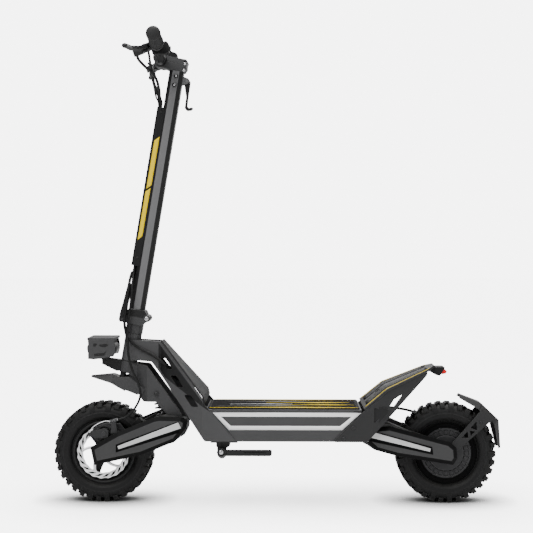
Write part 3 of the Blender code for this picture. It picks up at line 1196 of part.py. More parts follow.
def stem_tube():
    """Hollow stem welded to its hinge foot, with cheeks for the folding hook behind the top."""
    half = FOLD_WIDTH / 2
    knuckle = FOLD_KNUCKLE_RADIUS
    centre = FOLD_KNUCKLE_WIDTH / 2
    item = stem_extrusion("stem_tube", stem_section(0.0), STEM_FOOT - 2 * MM, STEM_TOP)
    foot = stem_prism("foot", rounded([(-26 * MM, GAP), (FOLD_PIN_BACK, GAP), (FOLD_PIN_BACK - 1 * MM, knuckle), (22 * MM, 20 * MM),
                                       (-22 * MM, 20 * MM)], [0, 0, 0, 4 * MM, 4 * MM], 2), -half, half)
    weld(item, foot)
    for sign in (-1, 1):
        near = sign * (centre - SLIP)
        cut(item, rod("clear", stem_point(FOLD_PIN_BACK, near, 0), stem_point(FOLD_PIN_BACK, sign * 0.06, 0),
                      knuckle + SLIP + GAP, 24))
    weld(item, rod("knuckle", stem_point(FOLD_PIN_BACK, -centre + SLIP, 0), stem_point(FOLD_PIN_BACK, centre - SLIP, 0), knuckle, 24))
    cut(item, drill(stem_point(FOLD_PIN_BACK, -0.1, 0), stem_point(FOLD_PIN_BACK, 0.1, 0), FOLD_PIN_RADIUS + SLIP, 16))
    back, along = HOOK_PIVOT
    cheek = rounded([(STEM_DEPTH / 2 - 2 * MM, along - 12 * MM), (STEM_DEPTH / 2 - 2 * MM, along + 12 * MM), (back + 4 * MM, along + 8 * MM),
                     (back + 7 * MM, along), (back + 3 * MM, along - 7 * MM)], 2 * MM, 2)
    weld(item, stem_prism("cheek", cheek, -10 * MM, -6.4 * MM), stem_prism("cheek", cheek, 6.4 * MM, 10 * MM),
         rod("pin", stem_point(back, -12 * MM, along), stem_point(back, 12 * MM, along), STEEL_PIN, 16))
    cut(item, stem_extrusion("inside", stem_section(STEM_WALL), STEM_FOOT + 8 * MM, STEM_TOP + 9 * MM))
    return paint(item, *CHARCOAL)


def stem_cover():
    """Channel on the front of the stem that carries the cords."""
    face = -STEM_DEPTH / 2 - GAP
    front = face - COVER_PROUD
    half = STEM_WIDTH / 2 - 3 * MM
    wall = COVER_WALL
    edge = face - 0.5 * GAP + half - (STEM_WIDTH / 2 - STEM_CHAMFER)
    lip = edge - wall
    outline = [(edge, -half), (front + 6 * MM, -half), (front, -half + 7 * MM), (front, half - 7 * MM), (front + 6 * MM, half),
               (edge, half), (lip, half - wall), (front + 6 * MM + wall * 0.5, half - wall), (front + wall, half - 7 * MM - wall * 0.4),
               (front + wall, -half + 7 * MM + wall * 0.4), (front + 6 * MM + wall * 0.5, -half + wall), (lip, -half + wall)]
    item = stem_extrusion("stem_cover", outline, COVER_START, COVER_START + COVER_LENGTH)
    return paint(item, *BLACK)


def stem_head():
    """Head of the stem with the lower half of the bar clamp, and the clamp cap above the bar."""
    half = CLAMP_WIDTH / 2
    seam = BAR_ALONG
    foot = STEM_TOP + GAP
    bar = -BAR_FORWARD
    lower = rounded([(bar - 18 * MM, seam - GAP), (25 * MM, seam - GAP), (26 * MM, seam - 12 * MM), (19 * MM, foot), (-19 * MM, foot),
                     (bar + 16 * MM, seam - 19 * MM), (bar - 12 * MM, seam - 19 * MM)], [0, 0, 4 * MM, 0, 0, 3 * MM, 6 * MM], 2)
    item = stem_prism("stem_head", lower, -half, half)
    weld(item, stem_extrusion("plug", stem_section(STEM_WALL + SLIP), STEM_TOP - 22 * MM, foot + 4 * MM))
    upper = rounded([(bar - 18 * MM, seam + GAP), (bar - 17 * MM, seam + 14 * MM), (bar - 8 * MM, seam + 21 * MM), (bar + 8 * MM, seam + 21 * MM),
                     (bar + 20 * MM, seam + 13 * MM), (22 * MM, seam + 12 * MM), (27 * MM, seam + 6 * MM), (25 * MM, seam + GAP)],
                    [0, 3 * MM, 4 * MM, 4 * MM, 4 * MM, 3 * MM, 3 * MM, 0], 2)
    cap = stem_prism("clamp_cap", upper, -half, half)
    for piece in (item, cap):
        cut(piece, drill(BAR_CENTRE - Vector((0, 0.1, 0)), BAR_CENTRE + Vector((0, 0.1, 0)), BAR_RADIUS + GAP, 32))
    for piece, along in ((item, seam - 13 * MM), (cap, seam + 5 * MM)):
        cut(piece, drill(stem_point(18.4 * MM, -0.1, along), stem_point(18.4 * MM, 0.1, along), 2.9 * MM, 12))
    return paint(item, *CHARCOAL), paint(cap, *BLACK)


def fold_hook():
    """Hook behind the stem that catches the tail when folded."""
    back, along = HOOK_PIVOT
    low = along - HOOK_LENGTH
    outline = rounded([(back - 7 * MM, along + 5 * MM), (back + 4 * MM, along + 8 * MM), (back + 10 * MM, along), (back + 11 * MM, low + 30 * MM),
                       (back + 12 * MM, low + 7 * MM), (back + 17 * MM, low + 2 * MM), (back + 25 * MM, low + 6 * MM),
                       (back + 29 * MM, low + 3 * MM), (back + 24 * MM, low - 3 * MM), (back + 13 * MM, low - 6 * MM),
                       (back + 6 * MM, low), (back + 5 * MM, low + 30 * MM), (back - 6 * MM, along - 6 * MM)], 3 * MM, 2)
    item = stem_prism("fold_hook", outline, -6 * MM, 6 * MM, [circle(back, along, STEEL_PIN + SLIP)])
    return paint(item, *BLACK)


# Handlebar and controls
BAR_STATIONS = [0.0, DISPLAY_OUT - 50 * MM, DISPLAY_OUT - 20 * MM, PERCH_OUT - 12 * MM, BAR_HALF]


def bar_point(y):
    """Centre of the handlebar at a sideways distance."""
    side = abs(y)
    rises = [0.0, 0.0, BAR_RISE * 0.36, BAR_RISE * 0.9, BAR_RISE]
    sweeps = [0.0, 0.0, BAR_SWEEP * 0.05, BAR_SWEEP * 0.3, BAR_SWEEP]
    for i in range(len(BAR_STATIONS) - 1):
        if side <= BAR_STATIONS[i + 1] or i == len(BAR_STATIONS) - 2:
            t = (side - BAR_STATIONS[i]) / (BAR_STATIONS[i + 1] - BAR_STATIONS[i])
            break
    rise = rises[i] + t * (rises[i + 1] - rises[i])
    sweep = sweeps[i] + t * (sweeps[i + 1] - sweeps[i])
    return BAR_CENTRE + Vector((sweep, y, rise))


def handlebar():
    """Butted tube with a little rise and sweep."""
    ys = [-y for y in reversed(BAR_STATIONS[1:])] + BAR_STATIONS[1:]
    sizes = [BAR_RADIUS if abs(y) < BAR_STATIONS[2] else BAR_END_RADIUS for y in ys]
    item = tube("handlebar", [bar_point(y) for y in ys], sizes, 16, BAR_END_RADIUS - BAR_WALL)
    return paint(item, *BLACK)


def grip():
    """Left ribbed grip, closed at its outer end."""
    start = bar_point(-BAR_HALF + GRIP_LENGTH)
    end = bar_point(-BAR_HALF)
    way = end - start
    length = way.length
    bore = (BAR_END_RADIUS + GAP) / math.cos(math.pi / sides(28))
    r = GRIP_RADIUS
    profile = [(bore, 0.0), (r + 3.5 * MM, 0.0), (r + 3.5 * MM, 4 * MM), (r - 1 * MM, 6 * MM)]
    ribs = 3
    for k in range(ribs):
        base = 12 * MM + (length - 24 * MM) * k / ribs
        step = (length - 24 * MM) / ribs
        profile += [(r - 1 * MM, base), (r, base + 0.15 * step), (r, base + 0.80 * step)]
    profile += [(r, length), (r - 1.5 * MM, length + 3.5 * MM), (0.0, length + 3.5 * MM), (0.0, length + GAP), (bore, length + GAP)]
    item = lathe("grip_left", profile, 28)
    move(item, Matrix.Translation(start) @ Vector((0, 1, 0)).rotation_difference(way).to_matrix().to_4x4())
    return paint(item, *RUBBER)


LEVER_TILT = math.radians(21)
LEVER_PIN = (5 * MM, 31 * MM)


def lever_frame():
    """Frame of the left lever: x runs outward along the bar, z runs forward, y is the pin's direction."""
    origin = bar_point(-PERCH_OUT)
    out = Vector((0, -1, 0))
    ahead = Vector((-math.cos(LEVER_TILT), 0, -math.sin(LEVER_TILT)))
    up = ahead.cross(out)
    rows = Matrix((out, up, ahead)).transposed().to_4x4()
    return Matrix.Translation(origin) @ rows


def brake_perch():
    """Left lever mount: a ring on the bar, a forked arm, the lever pin and a cord stop."""
    frame = lever_frame()
    o, f = LEVER_PIN
    body = rounded([(-11 * MM, 10 * MM), (-13 * MM, 36 * MM), (o - 4 * MM, f + 10 * MM), (o + 8 * MM, f + 6 * MM), (o + 8 * MM, f - 8 * MM),
                    (8 * MM, 10 * MM)], 3 * MM, 2)
    item = prism("brake_perch_left", body, -9 * MM, 9 * MM)
    cut(item, prism("slot", [(-7 * MM, 14 * MM), (-7 * MM, 60 * MM), (60 * MM, 60 * MM), (60 * MM, 14 * MM)], -5 * MM, 5 * MM))
    weld(item, rod("pin", (o, -10 * MM, f), (o, 10 * MM, f), STEEL_PIN, 16))
    nose = rounded([(-8.2 * MM, 27 * MM), (-23 * MM, 41 * MM), (-23 * MM, 60 * MM), (-16 * MM, 67 * MM), (-9 * MM, 62 * MM)], 3 * MM, 1)
    weld(item, prism("nose", nose, -8 * MM, 8 * MM))
    weld(item, rod("stop", (-11 * MM, 0, 30 * MM), (-24 * MM, 0, 30 * MM), 4.5 * MM, 12))
    move(item, frame)
    way = (bar_point(-PERCH_OUT - 20 * MM) - bar_point(-PERCH_OUT)).normalized()
    middle = bar_point(-PERCH_OUT)
    ring = way * PERCH_WIDTH / 2
    weld(item, rod("ring", middle - ring, middle + ring, BAR_END_RADIUS + 6 * MM, 24))
    cut(item, drill(middle - ring * 3, middle + ring * 3, BAR_END_RADIUS + GAP, 24))
    return paint(item, *BLACK)


def brake_lever():
    """Left brake lever: a curved blade with a ball end."""
    o, f = LEVER_PIN
    tip = LEVER_LENGTH
    reach = LEVER_REACH
    outline = rounded([(o - 11 * MM, f - 9 * MM), (o - 11 * MM, f + 5 * MM), (o, f + 12 * MM), (0.25 * tip, 0.76 * reach), (0.55 * tip, 0.92 * reach),
                       (0.90 * tip, 0.99 * reach), (tip, 1.04 * reach), (tip, 0.90 * reach), (0.56 * tip, 0.78 * reach),
                       (0.30 * tip, 0.58 * reach), (o + 12 * MM, f - 7 * MM)], 4 * MM, 2)
    item = prism("brake_lever_left", outline, -4.5 * MM, 4.5 * MM, [circle(o, f, STEEL_PIN + SLIP)])
    ball = lathe("ball", [(0.0, -6 * MM), (4.5 * MM, -5 * MM), (7 * MM, 0.0), (4.5 * MM, 5 * MM), (0.0, 6 * MM)], 14)
    weld(item, shift(ball, tip, 0.0, 0.97 * reach))
    return paint(move(item, lever_frame()), *BLACK)


def pod_ring(item, y, width):
    """Add a clamp ring for the bar to a control pod and clear the bar through it."""
    middle = bar_point(y)
    way = (bar_point(y + 4 * MM) - bar_point(y - 4 * MM)).normalized()
    weld(item, rod("ring", middle - way * width / 2, middle + way * width / 2, BAR_END_RADIUS + 5 * MM, 24))
    cut(item, drill(middle - way * 0.05, middle + way * 0.05, BAR_END_RADIUS + GAP, 24))
    return item


def display_pod():
    """Display box above the right side of the bar."""
    middle = bar_point(DISPLAY_OUT)
    outline = rounded([(-24 * MM, 13 * MM), (-27 * MM, 22 * MM), (-20 * MM, 33 * MM), (20 * MM, 33 * MM), (24 * MM, 26 * MM), (20 * MM, 13 * MM),
                       (8 * MM, 5 * MM), (-8 * MM, 5 * MM)], 3 * MM, 2)
    item = prism("display_pod", outline, -19 * MM, 13 * MM)
    move(item, Matrix.Translation(middle) @ Matrix.Rotation(math.radians(22), 4, "Y"))
    return paint(pod_ring(item, DISPLAY_OUT, 18 * MM), *BLACK)


BUTTON_TRAVEL = 2.0 * MM
SWITCH_BACK = 30.0 * MM
BUTTON_PLACE = Vector((SWITCH_BACK + 0.6 * MM, 0, 3 * MM))
BUTTON_RADIUS = 6.0 * MM


def switch_pod():
    """Left switch pod behind the bar with a pocket for the horn button, and the button."""
    middle = bar_point(-SWITCH_OUT)
    outline = rounded([(-9 * MM, -13 * MM), (-12 * MM, 9 * MM), (6 * MM, 17 * MM), (24 * MM, 20 * MM), (SWITCH_BACK, 13 * MM),
                       (SWITCH_BACK, -8 * MM), (20 * MM, -13 * MM)], 4 * MM, 2)
    item = prism("switch_pod", outline, -15 * MM, 15 * MM)
    move(item, Matrix.Translation(middle))
    pod_ring(item, -SWITCH_OUT, 18 * MM)
    face = middle + BUTTON_PLACE
    way = Vector((1, 0, 0))
    cut(item, rod("pocket", face - way * 6 * MM, face + way * 9 * MM, BUTTON_RADIUS + SLIP, 20))
    button = rod("horn_button", face - way * (6 * MM - BUTTON_TRAVEL - SLIP), face + way * 3.5 * MM, BUTTON_RADIUS, 20)
    return paint(item, *BLACK), paint(button, *GREY)




def throttle_paddle():
    """Thumb throttle: a ring on the bar with a paddle below it."""
    middle = bar_point(THROTTLE_OUT)
    way = (bar_point(THROTTLE_OUT + 4 * MM) - bar_point(THROTTLE_OUT - 4 * MM)).normalized()
    item = rod("throttle_paddle", middle - way * 5 * MM, middle + way * 5 * MM, BAR_END_RADIUS + 5 * MM, 24)
    outline = rounded([(-2 * MM, -12 * MM), (14 * MM, -9 * MM), (20 * MM, -30 * MM), (16 * MM, -44 * MM), (8 * MM, -44 * MM), (8 * MM, -28 * MM)], 3 * MM, 2)
    blade = prism("blade", outline, -5 * MM, 5 * MM)
    weld(item, move(blade, Matrix.Translation(middle)))
    cut(item, drill(middle - way * 0.05, middle + way * 0.05, BAR_END_RADIUS + SLIP, 24))
    return paint(item, *BLACK)


# Cords
def brake_cable():
    """Front brake cord from the left lever, through the stem cover and down to the caliper."""
    start = lever_frame() @ Vector((-25 * MM, 0, 30 * MM))
    top = COVER_START + COVER_LENGTH
    low = COVER_START
    points = [start, start + Vector((2 * MM, 22 * MM, -3 * MM)), stem_point(-62 * MM, -66 * MM, BAR_ALONG - 30 * MM),
              stem_point(-48 * MM, -26 * MM, BAR_ALONG - 74 * MM), stem_point(-28 * MM, -12 * MM, top + 8 * MM),
              stem_point(-26 * MM, -12 * MM, top - 40 * MM), stem_point(-26 * MM, -12 * MM, (top + low) / 2),
              stem_point(-26 * MM, -12 * MM, low + 6 * MM), stem_point(-24 * MM, -23 * MM, low - 28 * MM),
              stem_point(-20 * MM, -36 * MM, low - 62 * MM), stem_point(-17 * MM, -38 * MM, 30 * MM),
              stem_point(-16 * MM, -40 * MM, -16 * MM), stem_point(-11 * MM, -45 * MM, -54 * MM)]
    points += [Vector((x * MM, y * MM, z * MM)) for x, y, z in
               ((-372, -51, 387), (-362, -54, 352), (-354, -56, 316), (-354, -58, 284), (-368, -61, 253), (-391, -64, 231))]
    end = CALIPER_STOP[1]
    points += [end + Vector((6 * MM, 0, 1.2 * MM)), end]
    item = cord("brake_cable", smooth_path(points, 3), CORD_RADIUS, 1)
    return paint(item, *RUBBER)


def harness():
    """Main harness from the display, through the stem cover and into the neck."""
    middle = bar_point(DISPLAY_OUT)
    start = middle + Vector((-19.4 * MM, -6 * MM, 2 * MM))
    top = COVER_START + COVER_LENGTH
    low = COVER_START
    points = [start, start + Vector((-14 * MM, -20 * MM, -16 * MM)), stem_point(-64 * MM, 42 * MM, BAR_ALONG - 52 * MM),
              stem_point(-34 * MM, 4 * MM, top + 26 * MM), stem_point(-26.5 * MM, -2 * MM, top - 14 * MM),
              stem_point(-26.5 * MM, -2 * MM, (top + low) / 2), stem_point(-26.5 * MM, -2 * MM, low + 4 * MM),
              stem_point(-31 * MM, -10 * MM, low - 22 * MM), stem_point(-31 * MM, -27 * MM, low - 50 * MM),
              stem_point(-29 * MM, -35 * MM, 40 * MM), stem_point(-26 * MM, -37 * MM, -16 * MM), stem_point(-13 * MM, -36 * MM, -56 * MM)]
    points += [Vector((x * MM, y * MM, z * MM)) for x, y, z in
               ((-372, -37, 419), (-356, -37, 408), (-330, -38, 395), (-307, -41, 381), (-294, -43, 371), (-286, -37, 364),
                (-278, -26, 356), (-266, -16, 344))]
    item = cord("harness", smooth_path(points, 3), HARNESS_RADIUS, 1)
    return paint(item, *RUBBER)


def motor_cable():
    """Motor cord from the deck along the right rear arm to the axle end."""
    end = REAR_AXLE + Vector((0, ARM_OUTER + 8 * MM, 15 * MM))
    points = [Vector((DECK_REAR + GAP, 58 * MM, 238 * MM)), Vector((DECK_REAR + 14 * MM, 58 * MM, 239 * MM))]
    points += [Vector((x * MM, y * MM, z * MM)) for x, y, z in ((262, 60, 244), (334, 62, 238), (383, 64, 226), (425, 71, 197))]
    points += [end + Vector((-4 * MM, -1 * MM, 18 * MM)), end]
    item = cord("motor_cable", smooth_path(points, 4), CORD_RADIUS, 1)
    return paint(item, *RUBBER)


# Assembly
def empty(name, place, parent=None):
    """Empty at a place given in the scooter's own frame; its parent must be an empty too."""
    item = bpy.data.objects.new(name, None)
    bpy.context.scene.collection.objects.link(item)
    item.parent = parent
    item["place"] = tuple(place)
    base = Vector(parent["place"]) if parent else Vector((0, 0, 0))
    item.location = Vector(place) - base
    return item


def attach(holder, *items):
    """Hang finished pieces on an empty, with their points measured from it."""
    place = Vector(holder["place"])
    for item in items:
        item.data.transform(Matrix.Translation(-place))
        item.parent = holder


def right_of(item, name):
    """Right-hand twin of a left-hand piece, with a material of its own."""
    twin = mirror(item, name)
    for change in item.modifiers:
        soften(twin, change.width, change.segments)
    source = item.data.materials[0].node_tree.nodes["Principled BSDF"].inputs
    return paint(twin, tuple(source["Base Color"].default_value)[:3], source["Metallic"].default_value,
                 source["Roughness"].default_value)


def main():
    """Build every piece and hang it on the empty of the body it moves with."""
    for item in list(bpy.data.objects):
        bpy.data.objects.remove(item)
    rear_end = REAR_AXLE.x + 147 * MM
    front_end = FRONT_AXLE.x - TYRE_RADIUS
    root = empty("scooter", (0, 0, 0))
    root.location = (-(front_end + rear_end) / 2, 0, 0)

    tail_left = tail_plate()
    stand, stand_leg = kickstand()
    lamp, lamp_lens = tail_lamp()
    attach(root, neck_frame(), headset_cartridge(), neck_cover(), deck_shell(), deck_lid(), deck_mat(), battery_pack(),
           motor_controller(), right_of(tail_left, "tail_plate_right"), tail_left, tail_footplate(), lamp, lamp_lens, stand,
           pivot_shaft("rear_pivot_shaft", REAR_PIVOT, ARM_OUTER))
    attach(empty("kickstand_joint", STAND_PIVOT, root), stand_leg)

    steer = empty("steer_joint", stem_point(0, 0, (HEAD_TOP + HEAD_LOW) / 2), root)
    attach(steer, fork(), front_fender(), headlamp_bracket(), fold_base(),
           pivot_shaft("front_pivot_shaft", FRONT_PIVOT, ARM_OUTER))
    housing, lens = headlamp()
    attach(empty("headlamp_joint", LAMP_PIVOT, steer), housing, lens)
    attach(empty("latch_joint", LATCH_PIN, steer), latch_lever())

    stem = empty("fold_joint", FOLD_PIN, steer)
    head, cap = stem_head()
    left_grip = grip()
    left_perch = brake_perch()
    pod, button = switch_pod()
    attach(stem, stem_tube(), stem_cover(), head, cap, handlebar(), right_of(left_grip, "grip_right"), left_grip,
           right_of(left_perch, "brake_perch_right"), left_perch, display_pod(), pod, brake_cable(), harness())
    attach(empty("hook_joint", stem_point(HOOK_PIVOT[0], 0, HOOK_PIVOT[1]), stem), fold_hook())
    left_lever = brake_lever()
    pin = lever_frame() @ Vector((LEVER_PIN[0], 0, LEVER_PIN[1]))
    attach(empty("right_lever_joint", (pin.x, -pin.y, pin.z), stem), right_of(left_lever, "brake_lever_right"))
    attach(empty("left_lever_joint", pin, stem), left_lever)
    attach(empty("throttle_joint", bar_point(THROTTLE_OUT), stem), throttle_paddle())
    attach(empty("button_joint", bar_point(-SWITCH_OUT) + BUTTON_PLACE, stem), button)

    front = empty("front_arm_joint", FRONT_PIVOT, steer)
    eye = shock_on_arm()
    boss = [(eye.x, eye.z, 10 * MM, STEEL_PIN + SLIP, EYE_HALF + SLIP)]
    left_arm = swing_arm("front_arm_left", FRONT_AXLE, FRONT_ARM_ANGLE, 1, boss)
    attach(front, right_of(left_arm, "front_arm_right"), left_arm, axle("front_axle", FRONT_AXLE, 9 * MM), brake_caliper())
    attach(empty("front_wheel_joint", FRONT_AXLE, front), tyre("front_tyre", FRONT_AXLE), front_rim(), brake_rotor())
    attach(empty("caliper_joint", CALIPER_PIVOT, front), caliper_lever())
    upper, lower = front_shock()
    attach(empty("shock_top_joint", SHOCK_TOP, steer), upper, front_spring())
    attach(empty("shock_low_joint", SHOCK_LOW, front), lower)

    rear = empty("rear_arm_joint", REAR_PIVOT, root)
    left_arm = swing_arm("rear_arm_left", REAR_AXLE, REAR_ARM_ANGLE, -1, [])
    attach(rear, right_of(left_arm, "rear_arm_right"), left_arm, axle("rear_axle", REAR_AXLE, 9 * MM), rear_fender(),
           motor_cable())
    attach(empty("rear_wheel_joint", REAR_AXLE, rear), tyre("rear_tyre", REAR_AXLE), rear_hub_motor())
    bpy.context.view_layer.update()


main()
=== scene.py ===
"""Studio scene of a folding electric kick scooter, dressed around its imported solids."""
import logging
import math
from dataclasses import dataclass
from enum import Enum
from typing import Iterable, Optional, Sequence

import bmesh
import bpy
import numpy as np
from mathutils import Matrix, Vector


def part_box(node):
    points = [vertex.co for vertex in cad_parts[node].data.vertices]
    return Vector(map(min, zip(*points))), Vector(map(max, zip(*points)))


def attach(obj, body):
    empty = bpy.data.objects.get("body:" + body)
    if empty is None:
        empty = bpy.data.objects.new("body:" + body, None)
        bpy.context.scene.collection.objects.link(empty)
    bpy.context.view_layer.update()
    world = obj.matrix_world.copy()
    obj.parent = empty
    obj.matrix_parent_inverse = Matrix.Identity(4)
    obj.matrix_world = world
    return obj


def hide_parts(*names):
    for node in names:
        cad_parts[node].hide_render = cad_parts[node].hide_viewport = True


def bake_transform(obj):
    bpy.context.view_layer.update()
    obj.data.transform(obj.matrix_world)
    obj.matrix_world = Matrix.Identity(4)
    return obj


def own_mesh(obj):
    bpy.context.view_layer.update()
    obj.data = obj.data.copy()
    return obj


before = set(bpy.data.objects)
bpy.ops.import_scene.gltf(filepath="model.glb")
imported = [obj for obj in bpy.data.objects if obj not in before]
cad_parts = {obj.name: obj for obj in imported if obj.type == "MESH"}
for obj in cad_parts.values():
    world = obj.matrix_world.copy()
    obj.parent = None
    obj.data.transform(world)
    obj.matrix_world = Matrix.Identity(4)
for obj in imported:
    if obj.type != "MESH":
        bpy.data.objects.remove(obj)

log = logging.getLogger("scooter")
Array = np.ndarray
Piece = bpy.types.Object
MM = 0.001
SIDES = (-1.0, 1.0)
SHARP_ANGLE = math.radians(38.0)
MERGE_REACH = 1e-6


class Body(Enum):
    """Moving bodies that pieces ride on."""

    FRAME = "frame"
    STEERING = "steering"
    HEADLAMP = "headlamp"
    STEM = "stem"
    HOOK = "hook"
    FRONT_ARM = "front_arm"
    FRONT_WHEEL = "front_wheel"
    CALIPER = "caliper_arm"
    SHOCK_TOP = "shock_top"
    REAR_ARM = "rear_arm"
    REAR_WHEEL = "rear_wheel"
    LATCH = "latch"


class Look(Enum):
    """Finishes of pieces and solids."""

    FRAME_PAINT = "frame_paint"
    DECK_PAINT = "deck_paint"
    NECK_PAINT = "neck_paint"
    FORK_PAINT = "fork_paint"
    STEM_PAINT = "stem_paint"
    HEAD_PAINT = "head_paint"
    ARM_PAINT = "arm_paint"
    ARM_COVER = "arm_cover"
    DEEP_BLACK = "deep_black"
    LAMP_PAINT = "lamp_paint"
    BLACK_COAT = "black_coat"
    BLACK_PLASTIC = "black_plastic"
    TYRE_RUBBER = "tyre_rubber"
    GRIP_RUBBER = "grip_rubber"
    CORD_RUBBER = "cord_rubber"
    BRIGHT_STEEL = "bright_steel"
    DARK_STEEL = "dark_steel"
    DISC_STEEL = "disc_steel"
    CAST_GREY = "cast_grey"
    SILVER_STRIP = "silver_strip"
    WHITE_FILM = "white_film"
    YELLOW_FILM = "yellow_film"
    GREY_FILM = "grey_film"
    MAT_RUBBER = "mat_rubber"
    SPRING_COAT = "spring_coat"
    RED_LENS = "red_lens"
    CLEAR_LENS = "clear_lens"
    LAMP_SILVER = "lamp_silver"
    PACK_WRAP = "pack_wrap"
    SWITCH_CAP = "switch_cap"


# Mesh making
def unit(vectors: Array) -> Array:
    """Vectors scaled to length one along their last axis."""
    return vectors / np.linalg.norm(vectors, axis=-1, keepdims=True)


def side_name(side: float) -> str:
    """Word for a side of the scooter: -1 is left and 1 is right."""
    return "left" if side < 0 else "right"


def grid_faces(rows: int, cols: int, wrap_rows: bool = False, wrap_cols: bool = False) -> Array:
    """Quads of a rows by cols grid of points, taken row by row.

    Args:
        rows: number of rows of points.
        cols: number of points in a row.
        wrap_rows: whether the last row joins the first.
        wrap_cols: whether the last point of a row joins its first.

    Returns:
        Array of four point numbers per face.
    """
    row = np.arange(rows if wrap_rows else rows - 1)[:, None]
    col = np.arange(cols if wrap_cols else cols - 1)[None, :]
    next_row, next_col = (row + 1) % rows, (col + 1) % cols
    corners = [row * cols + col, row * cols + next_col, next_row * cols + next_col, next_row * cols + col]
    return np.stack(corners, -1).reshape(-1, 4)


def closed_rings(rows: int, cols: int) -> list:
    """Faces of rings of cols points one behind the other: the wall, the first cap and the last cap."""
    cap = np.arange(cols)[None, :]
    return [grid_faces(rows, cols, wrap_cols=True), cap, cap + (rows - 1) * cols]


def copied_faces(faces: Sequence[Array], copies: int, size: int) -> list:
    """Faces of one shape for each of its copies, whose points follow in blocks of the given size."""
    step = (np.arange(copies) * size)[:, None, None]
    return [(block[None] + step).reshape(-1, block.shape[1]) for block in faces]


def make_piece(name: str, points: Array, faces: Sequence[Array], smooth: bool = True) -> Piece:
    """Put points and faces into a new object at the origin, with its faces turned outward.

    Args:
        name: the piece's name.
        points: array of places in metres.
        faces: arrays of point numbers, one array per face size.
        smooth: whether faces are shaded smooth below a sharp angle.

    Returns:
        The new object.
    """
    mesh = bpy.data.meshes.new(name)
    mesh.from_pydata(points.reshape(-1, 3).tolist(), [], [face for block in faces for face in block.tolist()])
    mesh.validate()
    turn_outward(mesh)
    piece = bpy.data.objects.new(name, mesh)
    bpy.context.scene.collection.objects.link(piece)
    if smooth:
        mesh.polygons.foreach_set("use_smooth", np.ones(len(mesh.polygons), bool))
        mesh.set_sharp_from_angle(angle=SHARP_ANGLE)
    return piece


def turn_outward(mesh: bpy.types.Mesh) -> None:
    """Merge a mesh's doubled points and recalculate its normals.

    Args:
        mesh: the mesh.
    """
    work = bmesh.new()
    work.from_mesh(mesh)
    bmesh.ops.remove_doubles(work, verts=work.verts, dist=MERGE_REACH)
    bmesh.ops.recalc_face_normals(work, faces=work.faces)
    work.to_mesh(mesh)
    work.free()


def bevel(piece: Piece, width: float, segments: int = 2, angle: float = 35.0) -> Piece:
    """Round a piece's sharp edges with a bevel modifier.

    Args:
        piece: the piece.
        width: bevel width in metres.
        segments: faces across the bevel.
        angle: least edge angle in degrees that is rounded.

    Returns:
        The same piece.
    """
    change = piece.modifiers.new("rounded_edges", "BEVEL")
    change.width = width
    change.segments = segments
    change.limit_method = "ANGLE"
    change.angle_limit = math.radians(angle)
    change.harden_normals = False
    return piece


def thicken(piece: Piece, depth: float) -> Piece:
    """Give a sheet a thickness on both sides of its faces with a solidify modifier.

    Args:
        piece: the sheet.
        depth: thickness in metres.

    Returns:
        The same piece.
    """
    change = piece.modifiers.new("wall", "SOLIDIFY")
    change.thickness = depth
    change.offset = 0.0
    return piece


def smooth_line(points: Sequence[Sequence[float]], count: int, per_span: int = 12) -> Array:
    """Points spread evenly along a smooth curve through the given ones.

    The curve is the cubic whose slope at each point is half the step between its neighbours.

    Args:
        points: places in metres that the curve passes.
        count: number of points wanted.
        per_span: points worked out on the curve between two given ones.

    Returns:
        Array of count places.
    """
    knots = np.asarray(points, float)
    ends = np.vstack([2 * knots[0] - knots[1], knots, 2 * knots[-1] - knots[-2]])
    p0, p1, p2, p3 = ends[:-3], ends[1:-2], ends[2:-1], ends[3:]
    t = np.linspace(0.0, 1.0, per_span, endpoint=False)[None, :, None]
    a, b = (p2 - p0)[:, None], (2 * p0 - 5 * p1 + 4 * p2 - p3)[:, None]
    c = (3 * p1 - p0 - 3 * p2 + p3)[:, None]
    dense = 0.5 * (2 * p1[:, None] + a * t + b * t ** 2 + c * t ** 3)
    dense = np.vstack([dense.reshape(-1, 3), knots[-1:]])
    run = np.concatenate([[0.0], np.cumsum(np.linalg.norm(np.diff(dense, axis=0), axis=1))])
    at = np.linspace(0.0, run[-1], count)
    return np.stack([np.interp(at, run, dense[:, k]) for k in range(3)], -1)


def tube(name: str, path: Array, radius: "float | Array", sides: int = 16,
         lean: Sequence[float] = (0.31, 0.9, 0.23)) -> Piece:
    """Round tube: a circle of the given radius carried along a path, closed by a flat cap at each end.

    Point (i, j) is path(i) + radius(i) * (cos(j) n(i) + sin(j) b(i)), with n across the path and b = t x n.

    Args:
        name: the piece's name.
        path: places along the middle line.
        radius: one radius, or one per place.
        sides: points around the circle.
        lean: direction that n is squared against; it may not lie along the path.

    Returns:
        The new object.
    """
    along = unit(np.gradient(path, axis=0))
    across = unit(np.cross(along, np.asarray(lean, float)))
    third = np.cross(along, across)
    turn = np.linspace(0.0, 2 * np.pi, sides, endpoint=False)
    size = np.broadcast_to(np.asarray(radius, float), (len(path),))[:, None, None]
    ring = np.cos(turn)[None, :, None] * across[:, None] + np.sin(turn)[None, :, None] * third[:, None]
    return make_piece(name, path[:, None] + size * ring, closed_rings(len(path), sides))


def turned(name: str, profile: Array, centre: Sequence[float], steps: int = 96, closed: bool = True) -> Piece:
    """Turned piece: a profile of (radius, sideways) points carried round the Y axis through a centre.

    Point (i, j) is centre + (r(j) cos(i), y(j), r(j) sin(i)).

    Args:
        name: the piece's name.
        profile: rows of radius and sideways place.
        centre: a point on the axis.
        steps: points around the turn.
        closed: whether the profile's last point joins its first.

    Returns:
        The new object.
    """
    return make_piece(name, turned_points(profile, centre, steps),
                      [grid_faces(steps, len(profile), True, closed)])


